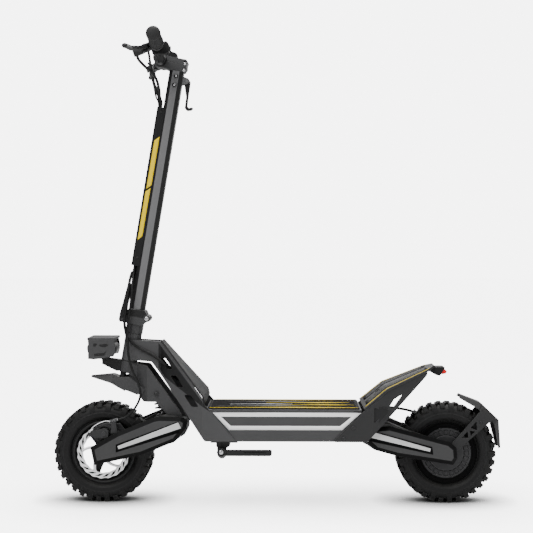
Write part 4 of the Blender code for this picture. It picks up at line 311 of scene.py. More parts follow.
def turned_points(profile: Array, centre: Sequence[float], steps: int) -> Array:
    """Grid of places of a profile of (radius, sideways) carried round Y, as turned gives it.

    Args:
        profile: rows of radius and sideways place.
        centre: a point on the axis.
        steps: points around the turn.

    Returns:
        Array of steps by profile places.
    """
    turn = np.linspace(0.0, 2 * np.pi, steps, endpoint=False)[:, None]
    r, y = profile[None, :, 0], profile[None, :, 1]
    points = np.stack([r * np.cos(turn), y + 0 * turn, r * np.sin(turn)], -1)
    return points + np.asarray(centre, float)


def slab(name: str, outline: Array, near: float, far: float) -> Piece:
    """Flat plate: an outline of (x, z) points carried along Y from near to far.

    Args:
        name: the piece's name.
        outline: rows of x and z in metres.
        near: first place along Y.
        far: last place along Y.

    Returns:
        The new object.
    """
    level = np.array([near, far])[:, None] + np.zeros(len(outline))
    points = np.stack([outline[None, :, 0] + 0 * level, level, outline[None, :, 1] + 0 * level], -1)
    return make_piece(name, points, closed_rings(2, len(outline)))


def stacked(name: str, outlines: Sequence[Array], levels: Sequence[float]) -> Piece:
    """Faceted plate: outlines of (x, z) points, each at its own place along Y, closed at both ends.

    Args:
        name: the piece's name.
        outlines: outlines of equal length, in metres.
        levels: place along Y of each outline.

    Returns:
        The new object.
    """
    ring = np.stack([np.asarray(outline, float) for outline in outlines])
    rows, cols = ring.shape[:2]
    level = np.asarray(levels, float)[:, None] + np.zeros((rows, cols))
    points = np.stack([ring[..., 0], level, ring[..., 1]], -1)
    return make_piece(name, points, closed_rings(rows, cols), smooth=False)


def inset(outline: Array, width: float) -> Array:
    """Outline moved inwards by a width along the bisector of its corners, p - w (n1 + n2) / (1 + n1.n2).

    Args:
        outline: rows of x and z in order round the edge.
        width: distance between the old edges and the new ones.

    Returns:
        The smaller outline.
    """
    edge = unit(np.roll(outline, -1, axis=0) - outline)
    turn = np.sign(np.sum(np.cross(edge, np.roll(edge, -1, axis=0))))
    normal = turn * np.stack([edge[:, 1], -edge[:, 0]], -1)
    before = np.roll(normal, 1, axis=0)
    return outline - width * (normal + before) / (1.0 + np.sum(normal * before, axis=1, keepdims=True))


def patch(name: str, corners: Sequence[Sequence[float]], rows: int, cols: int,
          lift: Optional[Array] = None) -> Piece:
    """Four-cornered sheet: corners blended in both directions, raised along its own normal.

    Point (u, v) is (1-u)(1-v) c0 + u(1-v) c1 + u v c2 + (1-u) v c3 + lift(u, v) n.

    Args:
        name: the piece's name.
        corners: four places in order round the edge.
        rows: points along the first edge.
        cols: points along the second edge.
        lift: height over the flat sheet at each point, if any.

    Returns:
        The new object.
    """
    c = np.asarray(corners, float)
    u = np.linspace(0.0, 1.0, rows)[:, None, None]
    v = np.linspace(0.0, 1.0, cols)[None, :, None]
    points = (1 - u) * (1 - v) * c[0] + u * (1 - v) * c[1] + u * v * c[2] + (1 - u) * v * c[3]
    if lift is not None:
        points = points + lift[..., None] * unit(np.cross(c[1] - c[0], c[3] - c[0]))
    return make_piece(name, points, [grid_faces(rows, cols)])


def facing(normals: Array) -> Array:
    """Matrices that turn +Z to each of the given directions.

    Args:
        normals: one direction per row.

    Returns:
        Array of 3 by 3 matrices.
    """
    ahead = unit(np.asarray(normals, float))
    helper = np.where(np.abs(ahead[:, 2:3]) > 0.9, [[1.0, 0.0, 0.0]], [[0.0, 0.0, 1.0]])
    side = unit(np.cross(helper, ahead))
    return np.stack([side, np.cross(ahead, side), ahead], -1)


def bolts(name: str, places: Sequence[Sequence[float]], normals: Sequence[Sequence[float]], radius: float,
          around: int = 24) -> Piece:
    """Button-head screws with a six-sided socket, all in one mesh.

    Rings of radius r(j) at height h(j); the socket rings are divided by cos(angle to the nearest flat).
    Copy k is turned to its normal and moved to its place.

    Args:
        name: the piece's name.
        places: middle of each head's seat.
        normals: direction that each head looks in.
        radius: head radius in metres.
        around: points round a head.

    Returns:
        The new object.
    """
    ring = np.array([[1.0, -0.25], [1.0, 0.22], [0.86, 0.48], [0.58, 0.62], [0.44, 0.64], [0.42, 0.58],
                     [0.40, 0.20]])
    first_socket_ring, socket_width = 4, 0.9
    turn = np.linspace(0.0, 2 * np.pi, around, endpoint=False)[None, :]
    hexed = np.where(np.arange(len(ring)) >= first_socket_ring, 1.0, 0.0)[:, None]
    flat = np.cos((turn + np.pi / 6) % (np.pi / 3) - np.pi / 6)
    size = ring[:, :1] * (1.0 + hexed * (socket_width / flat - 1.0))
    grid = np.stack([size * np.cos(turn), size * np.sin(turn), ring[:, 1:] + 0 * turn], -1) * radius
    shape = grid.reshape(-1, 3)
    points = np.einsum("kij,nj->kni", facing(np.asarray(normals)), shape) + np.asarray(places, float)[:, None]
    return make_piece(name, points, copied_faces(closed_rings(len(ring), around), len(points), len(shape)))


def side_bolts(name: str, spots: Sequence[Sequence[float]], reach: float, radius: float) -> Piece:
    """Screws at the same (x, z) spots on both sides that look outward.

    Args:
        name: the piece's name.
        spots: rows of x and z in metres.
        reach: distance of the seats from the middle plane.
        radius: head radius in metres.

    Returns:
        The new object.
    """
    places = [(x, side * reach, z) for side in SIDES for x, z in spots]
    return bolts(name, places, [(0, side, 0) for side in SIDES for _ in spots], radius)


# Finishes
class Net:
    """Adds nodes to a node tree and wires them."""

    def __init__(self, tree: bpy.types.NodeTree) -> None:
        """Keep the tree that nodes go into."""
        self.tree = tree

    def add(self, kind: str, inputs: Optional[dict] = None, **values: object) -> bpy.types.Node:
        """Add a node.

        Args:
            kind: the node's type name.
            inputs: socket name or number to a value, or to the output socket that feeds it.
            **values: properties of the node.

        Returns:
            The new node.
        """
        node = self.tree.nodes.new(kind)
        for key, value in values.items():
            setattr(node, key, value)
        for key, value in (inputs or {}).items():
            self.feed(node.inputs[key], value)
        return node

    def feed(self, socket: bpy.types.NodeSocket, value: object) -> None:
        """Give a socket a value, or link it to an output.

        Args:
            socket: the input socket.
            value: a value, or the output socket that feeds it.
        """
        if isinstance(value, bpy.types.NodeSocket):
            self.tree.links.new(value, socket)
        else:
            socket.default_value = value

    def maths(self, operation: str, *terms: object) -> bpy.types.NodeSocket:
        """Result of a maths node on the terms."""
        return self.add("ShaderNodeMath", dict(enumerate(terms)), operation=operation).outputs[0]

    def mix(self, share: object, first: object, second: object) -> bpy.types.NodeSocket:
        """Colour between two others, by a share of the second."""
        return self.add("ShaderNodeMix", {0: share, 6: first, 7: second}, data_type="RGBA").outputs[2]

    def place(self) -> bpy.types.NodeSocket:
        """The object's own coordinates."""
        return self.add("ShaderNodeTexCoord").outputs["Object"]

    def noise(self, place: bpy.types.NodeSocket, scale: object, detail: float,
              **inputs: float) -> bpy.types.NodeSocket:
        """Noise of a scale and detail at a place."""
        return self.add("ShaderNodeTexNoise",
                        {"Vector": place, "Scale": scale, "Detail": detail, **inputs}).outputs["Fac"]

    def scaled(self, color: object, gain: bpy.types.NodeSocket) -> bpy.types.NodeSocket:
        """A colour times a gain."""
        return self.add("ShaderNodeVectorMath", {0: color, "Scale": gain}, operation="SCALE").outputs[0]


class Effects:
    """Shader node groups that the finishes share, each built once."""

    def __init__(self) -> None:
        """Build every group."""
        self.grain = self.make_grain()
        self.dust = self.make_dust()
        self.wear_and_highlight = self.make_wear_and_highlight()
        self.brushed = self.make_brushed()

    @staticmethod
    def group(name: str, inputs: dict, outputs: dict) -> tuple:
        """Start a group with named sockets.

        Args:
            name: the group's name.
            inputs: socket name to a default value.
            outputs: socket name to the kind of socket.

        Returns:
            The group, its wiring helper, its input node and its output node.
        """
        tree = bpy.data.node_groups.new(name, "ShaderNodeTree")
        for key, value in inputs.items():
            kind = "NodeSocketColor" if isinstance(value, tuple) else "NodeSocketFloat"
            tree.interface.new_socket(key, in_out="INPUT", socket_type=kind).default_value = value
        for key, kind in outputs.items():
            tree.interface.new_socket(key, in_out="OUTPUT", socket_type="NodeSocket" + kind)
        net = Net(tree)
        return tree, net, net.add("NodeGroupInput"), net.add("NodeGroupOutput")

    def make_grain(self) -> bpy.types.NodeTree:
        """Coat grain: slow mottling of colour and gloss, and a fine height."""
        tree, net, get, put = self.group(
            "coat_grain", {"Color": (0.1, 0.1, 0.1, 1.0), "Roughness": 0.5, "Vary": 0.1, "Scale": 900.0},
            {"Color": "Color", "Roughness": "Float", "Height": "Float"})
        place = net.place()
        slow = net.noise(place, 14.0, 5.0, Roughness=0.6)
        amount = net.maths("MULTIPLY", net.maths("SUBTRACT", slow, 0.5), get.outputs["Vary"])
        gain = net.maths("MULTIPLY_ADD", amount, 3.0, 1.0)
        net.feed(put.inputs["Color"], net.scaled(get.outputs["Color"], gain))
        net.feed(put.inputs["Roughness"], net.maths("MULTIPLY_ADD", amount, 2.0, get.outputs["Roughness"]))
        net.feed(put.inputs["Height"], net.noise(place, get.outputs["Scale"], 2.0))
        return tree

    def make_dust(self) -> bpy.types.NodeTree:
        """Dust that settles where a surface looks up, broken by noise."""
        tree, net, get, put = self.group(
            "settled_dust", {"Color": (0.1, 0.1, 0.1, 1.0), "Dust": (0.42, 0.40, 0.37, 1.0), "Amount": 0.1},
            {"Color": "Color", "Mask": "Float"})
        normal = net.add("ShaderNodeNewGeometry").outputs["Normal"]
        up = net.add("ShaderNodeSeparateXYZ", {0: normal}).outputs["Z"]
        rise = net.add("ShaderNodeMapRange", {"Value": up, "From Min": 0.3, "From Max": 1.0}).outputs[0]
        patchy = net.maths("MULTIPLY", rise, net.noise(net.place(), 60.0, 6.0))
        mask = net.maths("MULTIPLY", patchy, get.outputs["Amount"])
        net.feed(put.inputs["Color"], net.mix(mask, get.outputs["Color"], get.outputs["Dust"]))
        net.feed(put.inputs["Mask"], mask)
        return tree

    def make_wear_and_highlight(self) -> bpy.types.NodeTree:
        """Rubbed edges and a painted edge highlight: where a rounded normal leaves the flat one, the colour
        lightens in a broken line.
        """
        tree, net, get, put = self.group(
            "edge_wear_and_highlight",
            {"Color": (0.1, 0.1, 0.1, 1.0), "WornAndHighlight": (0.5, 0.5, 0.5, 1.0), "Amount": 0.2, "Width": 0.0012},
            {"Color": "Color", "Mask": "Float"})
        round_normal = net.add("ShaderNodeBevel", {"Radius": get.outputs["Width"]}, samples=4).outputs[0]
        flat_normal = net.add("ShaderNodeNewGeometry").outputs["True Normal"]
        both = {0: round_normal, 1: flat_normal}
        agree = net.add("ShaderNodeVectorMath", both, operation="DOT_PRODUCT").outputs["Value"]
        edge = net.add("ShaderNodeMapRange", {"Value": agree, "From Min": 0.995, "From Max": 0.90}).outputs[0]
        broken = net.maths("MULTIPLY", edge, net.noise(net.place(), 120.0, 4.0))
        mask = net.maths("MULTIPLY", broken, get.outputs["Amount"])
        net.feed(put.inputs["Color"], net.mix(mask, get.outputs["Color"], get.outputs["WornAndHighlight"]))
        net.feed(put.inputs["Mask"], mask)
        return tree

    def make_brushed(self) -> bpy.types.NodeTree:
        """Brushed metal: noise drawn out along X as fine lines of colour, gloss and height."""
        tree, net, get, put = self.group(
            "brushed_lines", {"Color": (0.6, 0.6, 0.6, 1.0), "Roughness": 0.3, "Scale": 700.0},
            {"Color": "Color", "Roughness": "Float", "Height": "Float"})
        drawn = net.add("ShaderNodeMapping", {"Vector": net.place(), "Scale": (0.06, 1.0, 1.0)}).outputs[0]
        lines = net.noise(drawn, get.outputs["Scale"], 3.0)
        gain = net.add("ShaderNodeMapRange", {"Value": lines, "To Min": 0.82, "To Max": 1.15}).outputs[0]
        swing = net.maths("SUBTRACT", lines, 0.5)
        net.feed(put.inputs["Color"], net.scaled(get.outputs["Color"], gain))
        net.feed(put.inputs["Roughness"], net.maths("MULTIPLY_ADD", swing, 0.3, get.outputs["Roughness"]))
        net.feed(put.inputs["Height"], lines)
        return tree


@dataclass(frozen=True)
class Finish:
    """One finish: its colour and gloss and how much of each shared effect it shows."""

    name: Look
    color: tuple
    roughness: float
    metallic: float = 0.0
    vary: float = 0.10
    scale: float = 900.0
    bump: float = 0.08
    dust: float = 0.0
    # Share of edge lightening: rubbed wear together with a painted edge highlight.
    wear_and_highlight: float = 0.0
    edge: float = 0.0
    brushed: bool = False
    glow: float = 0.0
    clear: float = 0.0
    coat: float = 0.0
    slot: str = ""
    gloss: float = 0.22

    def second_tint(self, net: Net, color: bpy.types.NodeSocket) -> bpy.types.NodeSocket:
        """The tint as it is; finishes with two tints mix the second one in here."""
        return color

    def build(self, effects: Effects) -> bpy.types.Material:
        """Make the material.

        Args:
            effects: the shared node groups.

        Returns:
            A procedural material.
        """
        material = bpy.data.materials.new(self.name.value)
        material.use_nodes = True
        net = Net(material.node_tree)
        shader = material.node_tree.nodes["Principled BSDF"]
        tint = (*self.color, 1.0)
        values = {"Color": tint, "Roughness": self.roughness, "Scale": self.scale}
        if not self.brushed:
            values["Vary"] = self.vary
        base = net.add("ShaderNodeGroup", values,
                       node_tree=effects.brushed if self.brushed else effects.grain)
        color = self.second_tint(net, base.outputs["Color"])
        # Lighten the edges: rubbed wear together with a painted edge highlight.
        if self.wear_and_highlight > 0.0:
            worn_highlight = tuple(min(1.0, 0.22 + 1.4 * part) for part in self.color)
            values = {"Color": color, "WornAndHighlight": (*worn_highlight, 1.0), "Amount": self.wear_and_highlight}
            color = net.add("ShaderNodeGroup", values, node_tree=effects.wear_and_highlight).outputs["Color"]
        if self.dust > 0.0:
            values = {"Color": color, "Amount": self.dust}
            color = net.add("ShaderNodeGroup", values, node_tree=effects.dust).outputs["Color"]
        net.feed(shader.inputs["Base Color"], color)
        net.feed(shader.inputs["Roughness"], base.outputs["Roughness"])
        net.feed(shader.inputs["Metallic"], self.metallic)
        net.feed(shader.inputs["Coat Weight"], self.coat)
        net.feed(shader.inputs["Specular IOR Level"], self.gloss)
        values = {"Height": base.outputs["Height"], "Strength": self.bump, "Distance": 0.0004}
        height = net.add("ShaderNodeBump", values)
        if self.edge > 0.0:
            soft = net.add("ShaderNodeBevel", {"Radius": self.edge}, samples=4)
            net.feed(height.inputs["Normal"], soft.outputs[0])
        net.feed(shader.inputs["Normal"], height.outputs[0])
        if self.glow > 0.0:
            net.feed(shader.inputs["Emission Color"], tint)
            net.feed(shader.inputs["Emission Strength"], self.glow)
        if self.clear > 0.0:
            net.feed(shader.inputs["Transmission Weight"], self.clear)
        return material


@dataclass(frozen=True)
class ShadedFacetFinish(Finish):
    """A finish whose wide side faces show one tint and whose narrow facets show a darker one, painted shade
    on the facets.
    """

    facet_shade: tuple = (0.01, 0.01, 0.01)
    limit: float = 0.93
    foot: float = 0.0

    def second_tint(self, net: Net, color: bpy.types.NodeSocket) -> bpy.types.NodeSocket:
        """Mix in the darker tint below the foot height, and as painted shade where the object's own normal
        turns away from the sides.

        Args:
            net: wiring helper of the material.
            color: the first tint.

        Returns:
            The mixed tint.
        """
        coords = net.add("ShaderNodeTexCoord")
        side = net.add("ShaderNodeSeparateXYZ", {0: coords.outputs["Normal"]}).outputs["Y"]
        height = net.add("ShaderNodeSeparateXYZ", {0: coords.outputs["Object"]}).outputs["Z"]
        above = net.maths("GREATER_THAN", height, self.foot)
        flat = net.maths("GREATER_THAN", net.maths("ABSOLUTE", side), self.limit)
        return net.mix(net.maths("MULTIPLY", flat, above), (*self.facet_shade, 1.0), color)


@dataclass(frozen=True)
class ShadedPanelFinish(Finish):
    """A finish with a darker panel of painted shade inside planes (x, z, height), with x and z across the
    plane.
    """

    panel: tuple = (0.01, 0.01, 0.01)
    planes: tuple = ()

    def second_tint(self, net: Net, color: bpy.types.NodeSocket) -> bpy.types.NodeSocket:
        """Mix in the panel's painted shade on the inner side of every plane.

        Args:
            net: wiring helper of the material.
            color: the first tint.

        Returns:
            The mixed tint.
        """
        place = net.place()
        mask: object = 1.0
        for x, z, height in self.planes:
            both = {0: place, 1: (x, 0.0, z)}
            reach = net.add("ShaderNodeVectorMath", both, operation="DOT_PRODUCT").outputs["Value"]
            mask = net.maths("MULTIPLY", mask, net.maths("LESS_THAN", reach, height))
        return net.mix(mask, color, (*self.panel, 1.0))


class Finishes:
    """All the scooter's finishes, made into materials when first asked for."""

    NECK_PLANES = ((0.7705, 0.6375, 0.0262), (-0.8078, -0.5897, 0.0444), (-1.0, 0.0, 0.3160),
                   (-0.55, -0.83, -0.1120))
    # Values in order: name, colour, roughness, metallic, vary, scale, bump, dust, wear_and_highlight (rubbed
    # edges with a painted edge highlight), edge
    TABLE = (
        Finish(Look.FRAME_PAINT, (0.021, 0.021, 0.0215), 0.50, 0.0, 0.10, 1400, 0.10, 0.04, 0.35, 0.0010,
               slot="frame_paint", gloss=0.16),
        Finish(Look.DECK_PAINT, (0.042, 0.042, 0.043), 0.50, 0.0, 0.10, 1400, 0.10, 0.04, 0.35, 0.0010,
               slot="frame_paint"),
        # Neck paint: a darker panel inside the neck planes, painted shade where the neck's windows are.
        ShadedPanelFinish(Look.NECK_PAINT, (0.044, 0.044, 0.045), 0.50, 0.0, 0.10, 1400, 0.10, 0.04, 0.35, 0.0010,
                    slot="frame_paint", panel=(0.005, 0.005, 0.0052), planes=NECK_PLANES),
        Finish(Look.FORK_PAINT, (0.034, 0.034, 0.035), 0.50, 0.0, 0.10, 1400, 0.10, 0.04, 0.35, 0.0010,
               slot="frame_paint"),
        # Stem paint: darker foot, and darker narrow facets that are painted shade.
        ShadedFacetFinish(Look.STEM_PAINT, (0.105, 0.105, 0.107), 0.50, 0.0, 0.05, 1400, 0.10, 0.03, 0.25, 0.0010,
                    slot="stem_paint", facet_shade=(0.008, 0.008, 0.0082), foot=0.512),
        Finish(Look.HEAD_PAINT, (0.034, 0.034, 0.035), 0.50, 0.0, 0.05, 1400, 0.10, 0.03, 0.35, 0.0010,
               slot="stem_paint"),
        Finish(Look.ARM_PAINT, (0.022, 0.022, 0.0225), 0.48, 0.0, 0.10, 1400, 0.10, 0.04, 0.40, 0.0012,
               slot="arm_paint"),
        # Arm cover: darker narrow facets, painted shade.
        ShadedFacetFinish(Look.ARM_COVER, (0.044, 0.044, 0.0445), 0.50, 0.0, 0.10, 1400, 0.10, 0.0, 0.30, 0.0008,
                    slot="arm_paint", facet_shade=(0.0014, 0.0014, 0.0015), gloss=0.08),
        Finish(Look.DEEP_BLACK, (0.0015, 0.0015, 0.0016), 0.55, 0.0, 0.10, 1400, 0.10, slot="black_metal",
               gloss=0.05),
        Finish(Look.LAMP_PAINT, (0.036, 0.036, 0.037), 0.50, 0.0, 0.10, 1500, 0.10, 0.03, 0.30, 0.0008,
               slot="black_plastic"),
        Finish(Look.BLACK_COAT, (0.0080, 0.0080, 0.0083), 0.46, 0.0, 0.12, 1500, 0.10, 0.03, 0.22, 0.0008,
               slot="black_metal"),
        Finish(Look.BLACK_PLASTIC, (0.0075, 0.0075, 0.0078), 0.55, 0.0, 0.10, 2200, 0.18, 0.02, 0.18, 0.0010,
               slot="black_plastic", gloss=0.14),
        Finish(Look.TYRE_RUBBER, (0.0035, 0.0035, 0.0036), 0.60, 0.0, 0.14, 1100, 0.22, 0.06, 0.10, 0.0,
               slot="tyre_rubber"),
        Finish(Look.GRIP_RUBBER, (0.0130, 0.0130, 0.0132), 0.62, 0.0, 0.12, 1600, 0.20, 0.03, 0.0, 0.0,
               slot="grip_rubber"),
        Finish(Look.CORD_RUBBER, (0.0035, 0.0035, 0.0036), 0.45, 0.0, 0.10, 1600, 0.06, 0.02, 0.0, 0.0,
               slot="cord_rubber"),
        Finish(Look.BRIGHT_STEEL, (0.56, 0.56, 0.57), 0.28, 1.0, scale=800.0, bump=0.05, edge=0.0005,
               brushed=True, slot="bright_steel"),
        Finish(Look.DARK_STEEL, (0.035, 0.035, 0.036), 0.38, 0.6, 0.10, 900, 0.06, slot="black_metal"),
        Finish(Look.DISC_STEEL, (0.74, 0.74, 0.75), 0.34, 0.35, scale=500.0, bump=0.05, brushed=True,
               slot="disc_steel"),
        Finish(Look.CAST_GREY, (0.025, 0.025, 0.026), 0.50, 0.2, 0.16, 700, 0.20, 0.04, 0.40, 0.0008,
               slot="cast_grey"),
        Finish(Look.SILVER_STRIP, (0.50, 0.50, 0.50), 0.36, 0.25, 0.05, 1500, 0.05, slot="arm_paint"),
        Finish(Look.WHITE_FILM, (0.78, 0.78, 0.78), 0.45, 0.0, 0.03, 1200, 0.03, slot="frame_paint"),
        Finish(Look.YELLOW_FILM, (0.68, 0.49, 0.001), 0.60, 0.0, 0.04, 1200, 0.03, slot="mat_print",
               gloss=0.08),
        Finish(Look.GREY_FILM, (0.10, 0.10, 0.10), 0.50, 0.0, 0.05, 1200, 0.03, slot="mat_print"),
        Finish(Look.MAT_RUBBER, (0.0045, 0.0045, 0.0046), 0.74, 0.0, 0.14, 2600, 0.45, 0.01, slot="mat_print",
               gloss=0.1),
        Finish(Look.SPRING_COAT, (0.006, 0.006, 0.006), 0.30, 0.0, 0.08, 1200, 0.04, coat=0.3,
               slot="spring_coat"),
        Finish(Look.RED_LENS, (0.55, 0.004, 0.006), 0.16, 0.0, 0.05, 600, 0.05, glow=0.15, slot="lens_red"),
        Finish(Look.CLEAR_LENS, (0.86, 0.88, 0.90), 0.06, 0.0, 0.02, 300, 0.02, clear=0.85,
               slot="lens_clear"),
        Finish(Look.LAMP_SILVER, (0.78, 0.78, 0.80), 0.16, 1.0, 0.05, 500, 0.03, slot="bright_steel"),
        Finish(Look.PACK_WRAP, (0.015, 0.045, 0.16), 0.40, 0.0, 0.10, 700, 0.06, slot="pack_wrap"),
        Finish(Look.SWITCH_CAP, (0.030, 0.030, 0.031), 0.40, 0.0, 0.06, 900, 0.05, slot="switch_cap"),
    )

    def __init__(self) -> None:
        """Index the finishes by name."""
        self.effects = Effects()
        self.known = {finish.name: finish for finish in self.TABLE}
        self.made: dict = {}

    def material(self, look: Look) -> bpy.types.Material:
        """The material of a finish, made once."""
        if look not in self.made:
            self.made[look] = self.known[look].build(self.effects)
        return self.made[look]

    def dress(self, piece: Piece, look: Look) -> Piece:
        """Give a new piece a finish.

        Args:
            piece: the new piece.
            look: its finish.

        Returns:
            The same piece.
        """
        piece.data.materials.clear()
        piece.data.materials.append(self.material(look))
        return piece

    def repaint(self, nodes: Iterable[str], look: Look) -> None:
        """Give solids of the frame a finish.

        Args:
            nodes: names of the solids.
            look: their finish.
        """
        for node in nodes:
            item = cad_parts[node]
            if not item.material_slots:
                item.data.materials.append(None)
            item.material_slots[0].material = self.material(look)


@dataclass
class Assembly:
    """A sub-assembly that makes pieces, dresses them and puts them on a body."""

    finishes: Finishes

    def place(self, piece: Piece, look: Look, body: Body, *replaced: str) -> Piece:
        """Dress a piece, let it ride on a body and hide the solids it stands for.

        Args:
            piece: the new piece.
            look: its finish.
            body: body that it moves with.
            *replaced: solids that it stands for.

        Returns:
            The same piece.
        """
        self.finishes.dress(piece, look)
        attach(piece, body.value)
        if replaced:
            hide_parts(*replaced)
        log.info("%s: %d points on %s", piece.name, len(piece.data.vertices), body.value)
        return piece

    def between(self, piece: Piece, look: Look, bodies: tuple, start: Sequence[float], end: Sequence[float],
                *replaced: str) -> Piece:
        """Dress a flexible piece that runs between two bodies, and fix it where it stands.

        Args:
            piece: the new piece.
            look: its finish.
            bodies: the two bodies.
            start: where it still follows the first; not used.
            end: where it follows the second; not used.
            *replaced: solids that it stands for.

        Returns:
            The same piece.
        """
        self.finishes.dress(piece, look)
        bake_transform(piece)
        if replaced:
            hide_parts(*replaced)
        ends = tuple(body.value for body in bodies)
        log.info("%s: %d points between %s and %s", piece.name, len(piece.data.vertices), *ends)
        return piece


# Places shared with the solids
SHIFT = -7.5
HALF_BASE = 455.0
AXLE_HEIGHT = 132.0
RAKE = math.radians(9.5)
STEM_FOOT = (-452.3 + 492.4 * math.tan(RAKE), 492.4)
BAR_HEIGHT = 684.4
BAR_AHEAD = 45.7
PERCH_SIDE = 158.0
LEVER_TILT = math.radians(21.0)
COVER_LOW, COVER_TOP = 134.0, 561.0
ROTOR_SIDE = -37.0


def at(*points: Sequence[float]) -> Array:
    """Places in metres of points given in millimetres from the middle of the wheelbase."""
    return (np.asarray(points, float) + [SHIFT, 0.0, 0.0]) * MM


def on_stem(*points: Sequence[float]) -> Array:
    """Places in metres of points given in millimetres behind, beside and along the stem.

    Args:
        *points: places from the stem's foot.

    Returns:
        Array of places.
    """
    back, side, along = np.asarray(points, float).T
    x = STEM_FOOT[0] + back * math.cos(RAKE) + along * math.sin(RAKE)
    z = STEM_FOOT[1] - back * math.sin(RAKE) + along * math.cos(RAKE)
    return at(*np.stack([x, side, z], -1))


def on_bar(side: "float | Array") -> Array:
    """Middle of the handlebar, in millimetres, at places across the scooter.

    Args:
        side: one place across, or an array of them.

    Returns:
        Array of places.
    """
    side = np.asarray(side, float)
    x = STEM_FOOT[0] - BAR_AHEAD * math.cos(RAKE) + BAR_HEIGHT * math.sin(RAKE)
    z = STEM_FOOT[1] + BAR_AHEAD * math.sin(RAKE) + BAR_HEIGHT * math.cos(RAKE)
    stations = [0.0, 62.0, 92.0, 146.0, 308.0]
    rise = np.interp(np.abs(side), stations, [0.0, 0.0, 7.92, 19.8, 22.0])
    sweep = np.interp(np.abs(side), stations, [0.0, 0.0, 0.55, 3.3, 11.0])
    return np.stack([x + sweep, side, z + rise], -1)


# Wheels
@dataclass
class Wheel(Assembly):
    """One wheel: its lugged tyre and what the tyre sits on. Sizes in millimetres."""

    name: str = "front"
    middle: float = -HALF_BASE
    body: Body = Body.FRONT_WHEEL
    lugs: int = 34

    @property
    def centre(self) -> Array:
        """Middle of the wheel in metres."""
        return at((self.middle, 0.0, AXLE_HEIGHT))[0]

    def tyre(self) -> None:
        """Tyre: a turned carcass with raised sidewall rings, and three patterns of lugs on it."""
        half = np.array([[82.9, 25.0], [86.2, 25.4], [86.9, 29.5], [90.0, 33.6], [96.0, 37.4], [104.0, 39.0],
                         [112.0, 38.4], [118.5, 35.4], [122.5, 29.5], [124.6, 20.0], [125.4, 10.0],
                         [125.7, 0.0]])
        run = np.concatenate([[0.0], np.cumsum(np.linalg.norm(np.diff(half, axis=0), axis=1))])
        fine = np.linspace(0.0, run[-1], 70)
        wall = np.stack([np.interp(fine, run, half[:, 0]), np.interp(fine, run, half[:, 1])], -1)
        ring = 0.7 * sum(np.exp(-((wall[:, 0] - spot) / 0.55) ** 2) for spot in (92.5, 94.6, 105.0, 107.0))
        wall[:, 1] += ring * (wall[:, 1] > 30.0)
        profile = np.vstack([wall, wall[-2::-1] * [1.0, -1.0]]) * MM
        carcass = turned(f"{self.name}_tyre_carcass", profile, self.centre, steps=180)
        self.place(carcass, Look.TYRE_RUBBER, self.body, f"{self.name}_tyre")
        long_lug = np.array([[121.0, 19.5], [131.9, 20.0], [131.7, 31.0], [128.6, 35.6], [117.5, 39.9],
                             [110.0, 39.9], [109.0, 36.5]])
        short_lug = np.array([[121.0, 23.5], [131.9, 24.0], [131.7, 31.5], [128.6, 35.8], [121.5, 38.6],
                              [119.0, 37.6], [118.5, 33.0]])
        turn = 2 * np.pi / self.lugs
        self.side_lugs("long", long_lug, turn * 2 * np.arange(self.lugs // 2), 0.33 * turn)
        self.side_lugs("short", short_lug, turn * (2 * np.arange(self.lugs // 2) + 1), 0.30 * turn)
        self.crown_lugs(turn)

    def side_lugs(self, name: str, shape: Array, turns: Array, half: float) -> None:
        """Shoulder lugs: a (radius, sideways) outline carried a small turn each way round the wheel.

        Args:
            name: which of the two lengths.
            shape: outline in millimetres.
            turns: angles of the lugs.
            half: half of a lug's angle at its foot; its top is narrower.
        """
        narrow = np.interp(shape[:, 0], [110.0, 132.0], [1.0, 0.80])
        spread = np.stack([-half * narrow, half * narrow])[None, None]
        side = np.array(SIDES)[:, None, None, None]
        angle = turns[None, :, None, None] + spread + side * 0.25 * half
        r = shape[:, 0] * MM + 0 * angle
        y = side * shape[:, 1] * MM + 0 * angle
        self.lugs_of(name, np.stack([r * np.cos(angle), y, r * np.sin(angle)], -1))

    def lugs_of(self, name: str, points: Array) -> None:
        """Join lugs, each two outlines one over the other, into one rounded piece.

        Args:
            name: which lugs they are.
            points: places of the outlines from the wheel's middle, in metres.
        """
        count = points.shape[-2]
        points = points.reshape(-1, 2 * count, 3) + self.centre
        faces = copied_faces(closed_rings(2, count), len(points), 2 * count)
        piece = make_piece(f"{self.name}_{name}_lugs", points, faces)
        self.place(bevel(piece, width=0.0007), Look.TYRE_RUBBER, self.body)

    def crown_lugs(self, turn: float) -> None:
        """Two staggered rows of slanted six-sided blocks round the crown, raised from the carcass.

        Args:
            turn: angle from one block to the next.
        """
        shape = np.array([[-0.36, 2.0], [0.10, 1.2], [0.38, 6.0], [0.34, 17.0], [-0.06, 18.2], [-0.40, 12.0]])
        foot, top = 124.0, 131.8
        side = np.array(SIDES)[:, None, None, None]
        angle = turn * (np.arange(self.lugs)[None, :, None, None] + shape[None, None, None, :,
                                                                          0] + 0.25 * side)
        level = np.array([foot, top])[None, None, :, None]
        r = (level - 0.006 * (shape[:, 1] - 9.0) * (level == top)) * MM + 0 * angle
        y = side * shape[:, 1] * MM + 0 * r
        self.lugs_of("crown", np.stack([r * np.cos(angle), y, r * np.sin(angle)], -1))


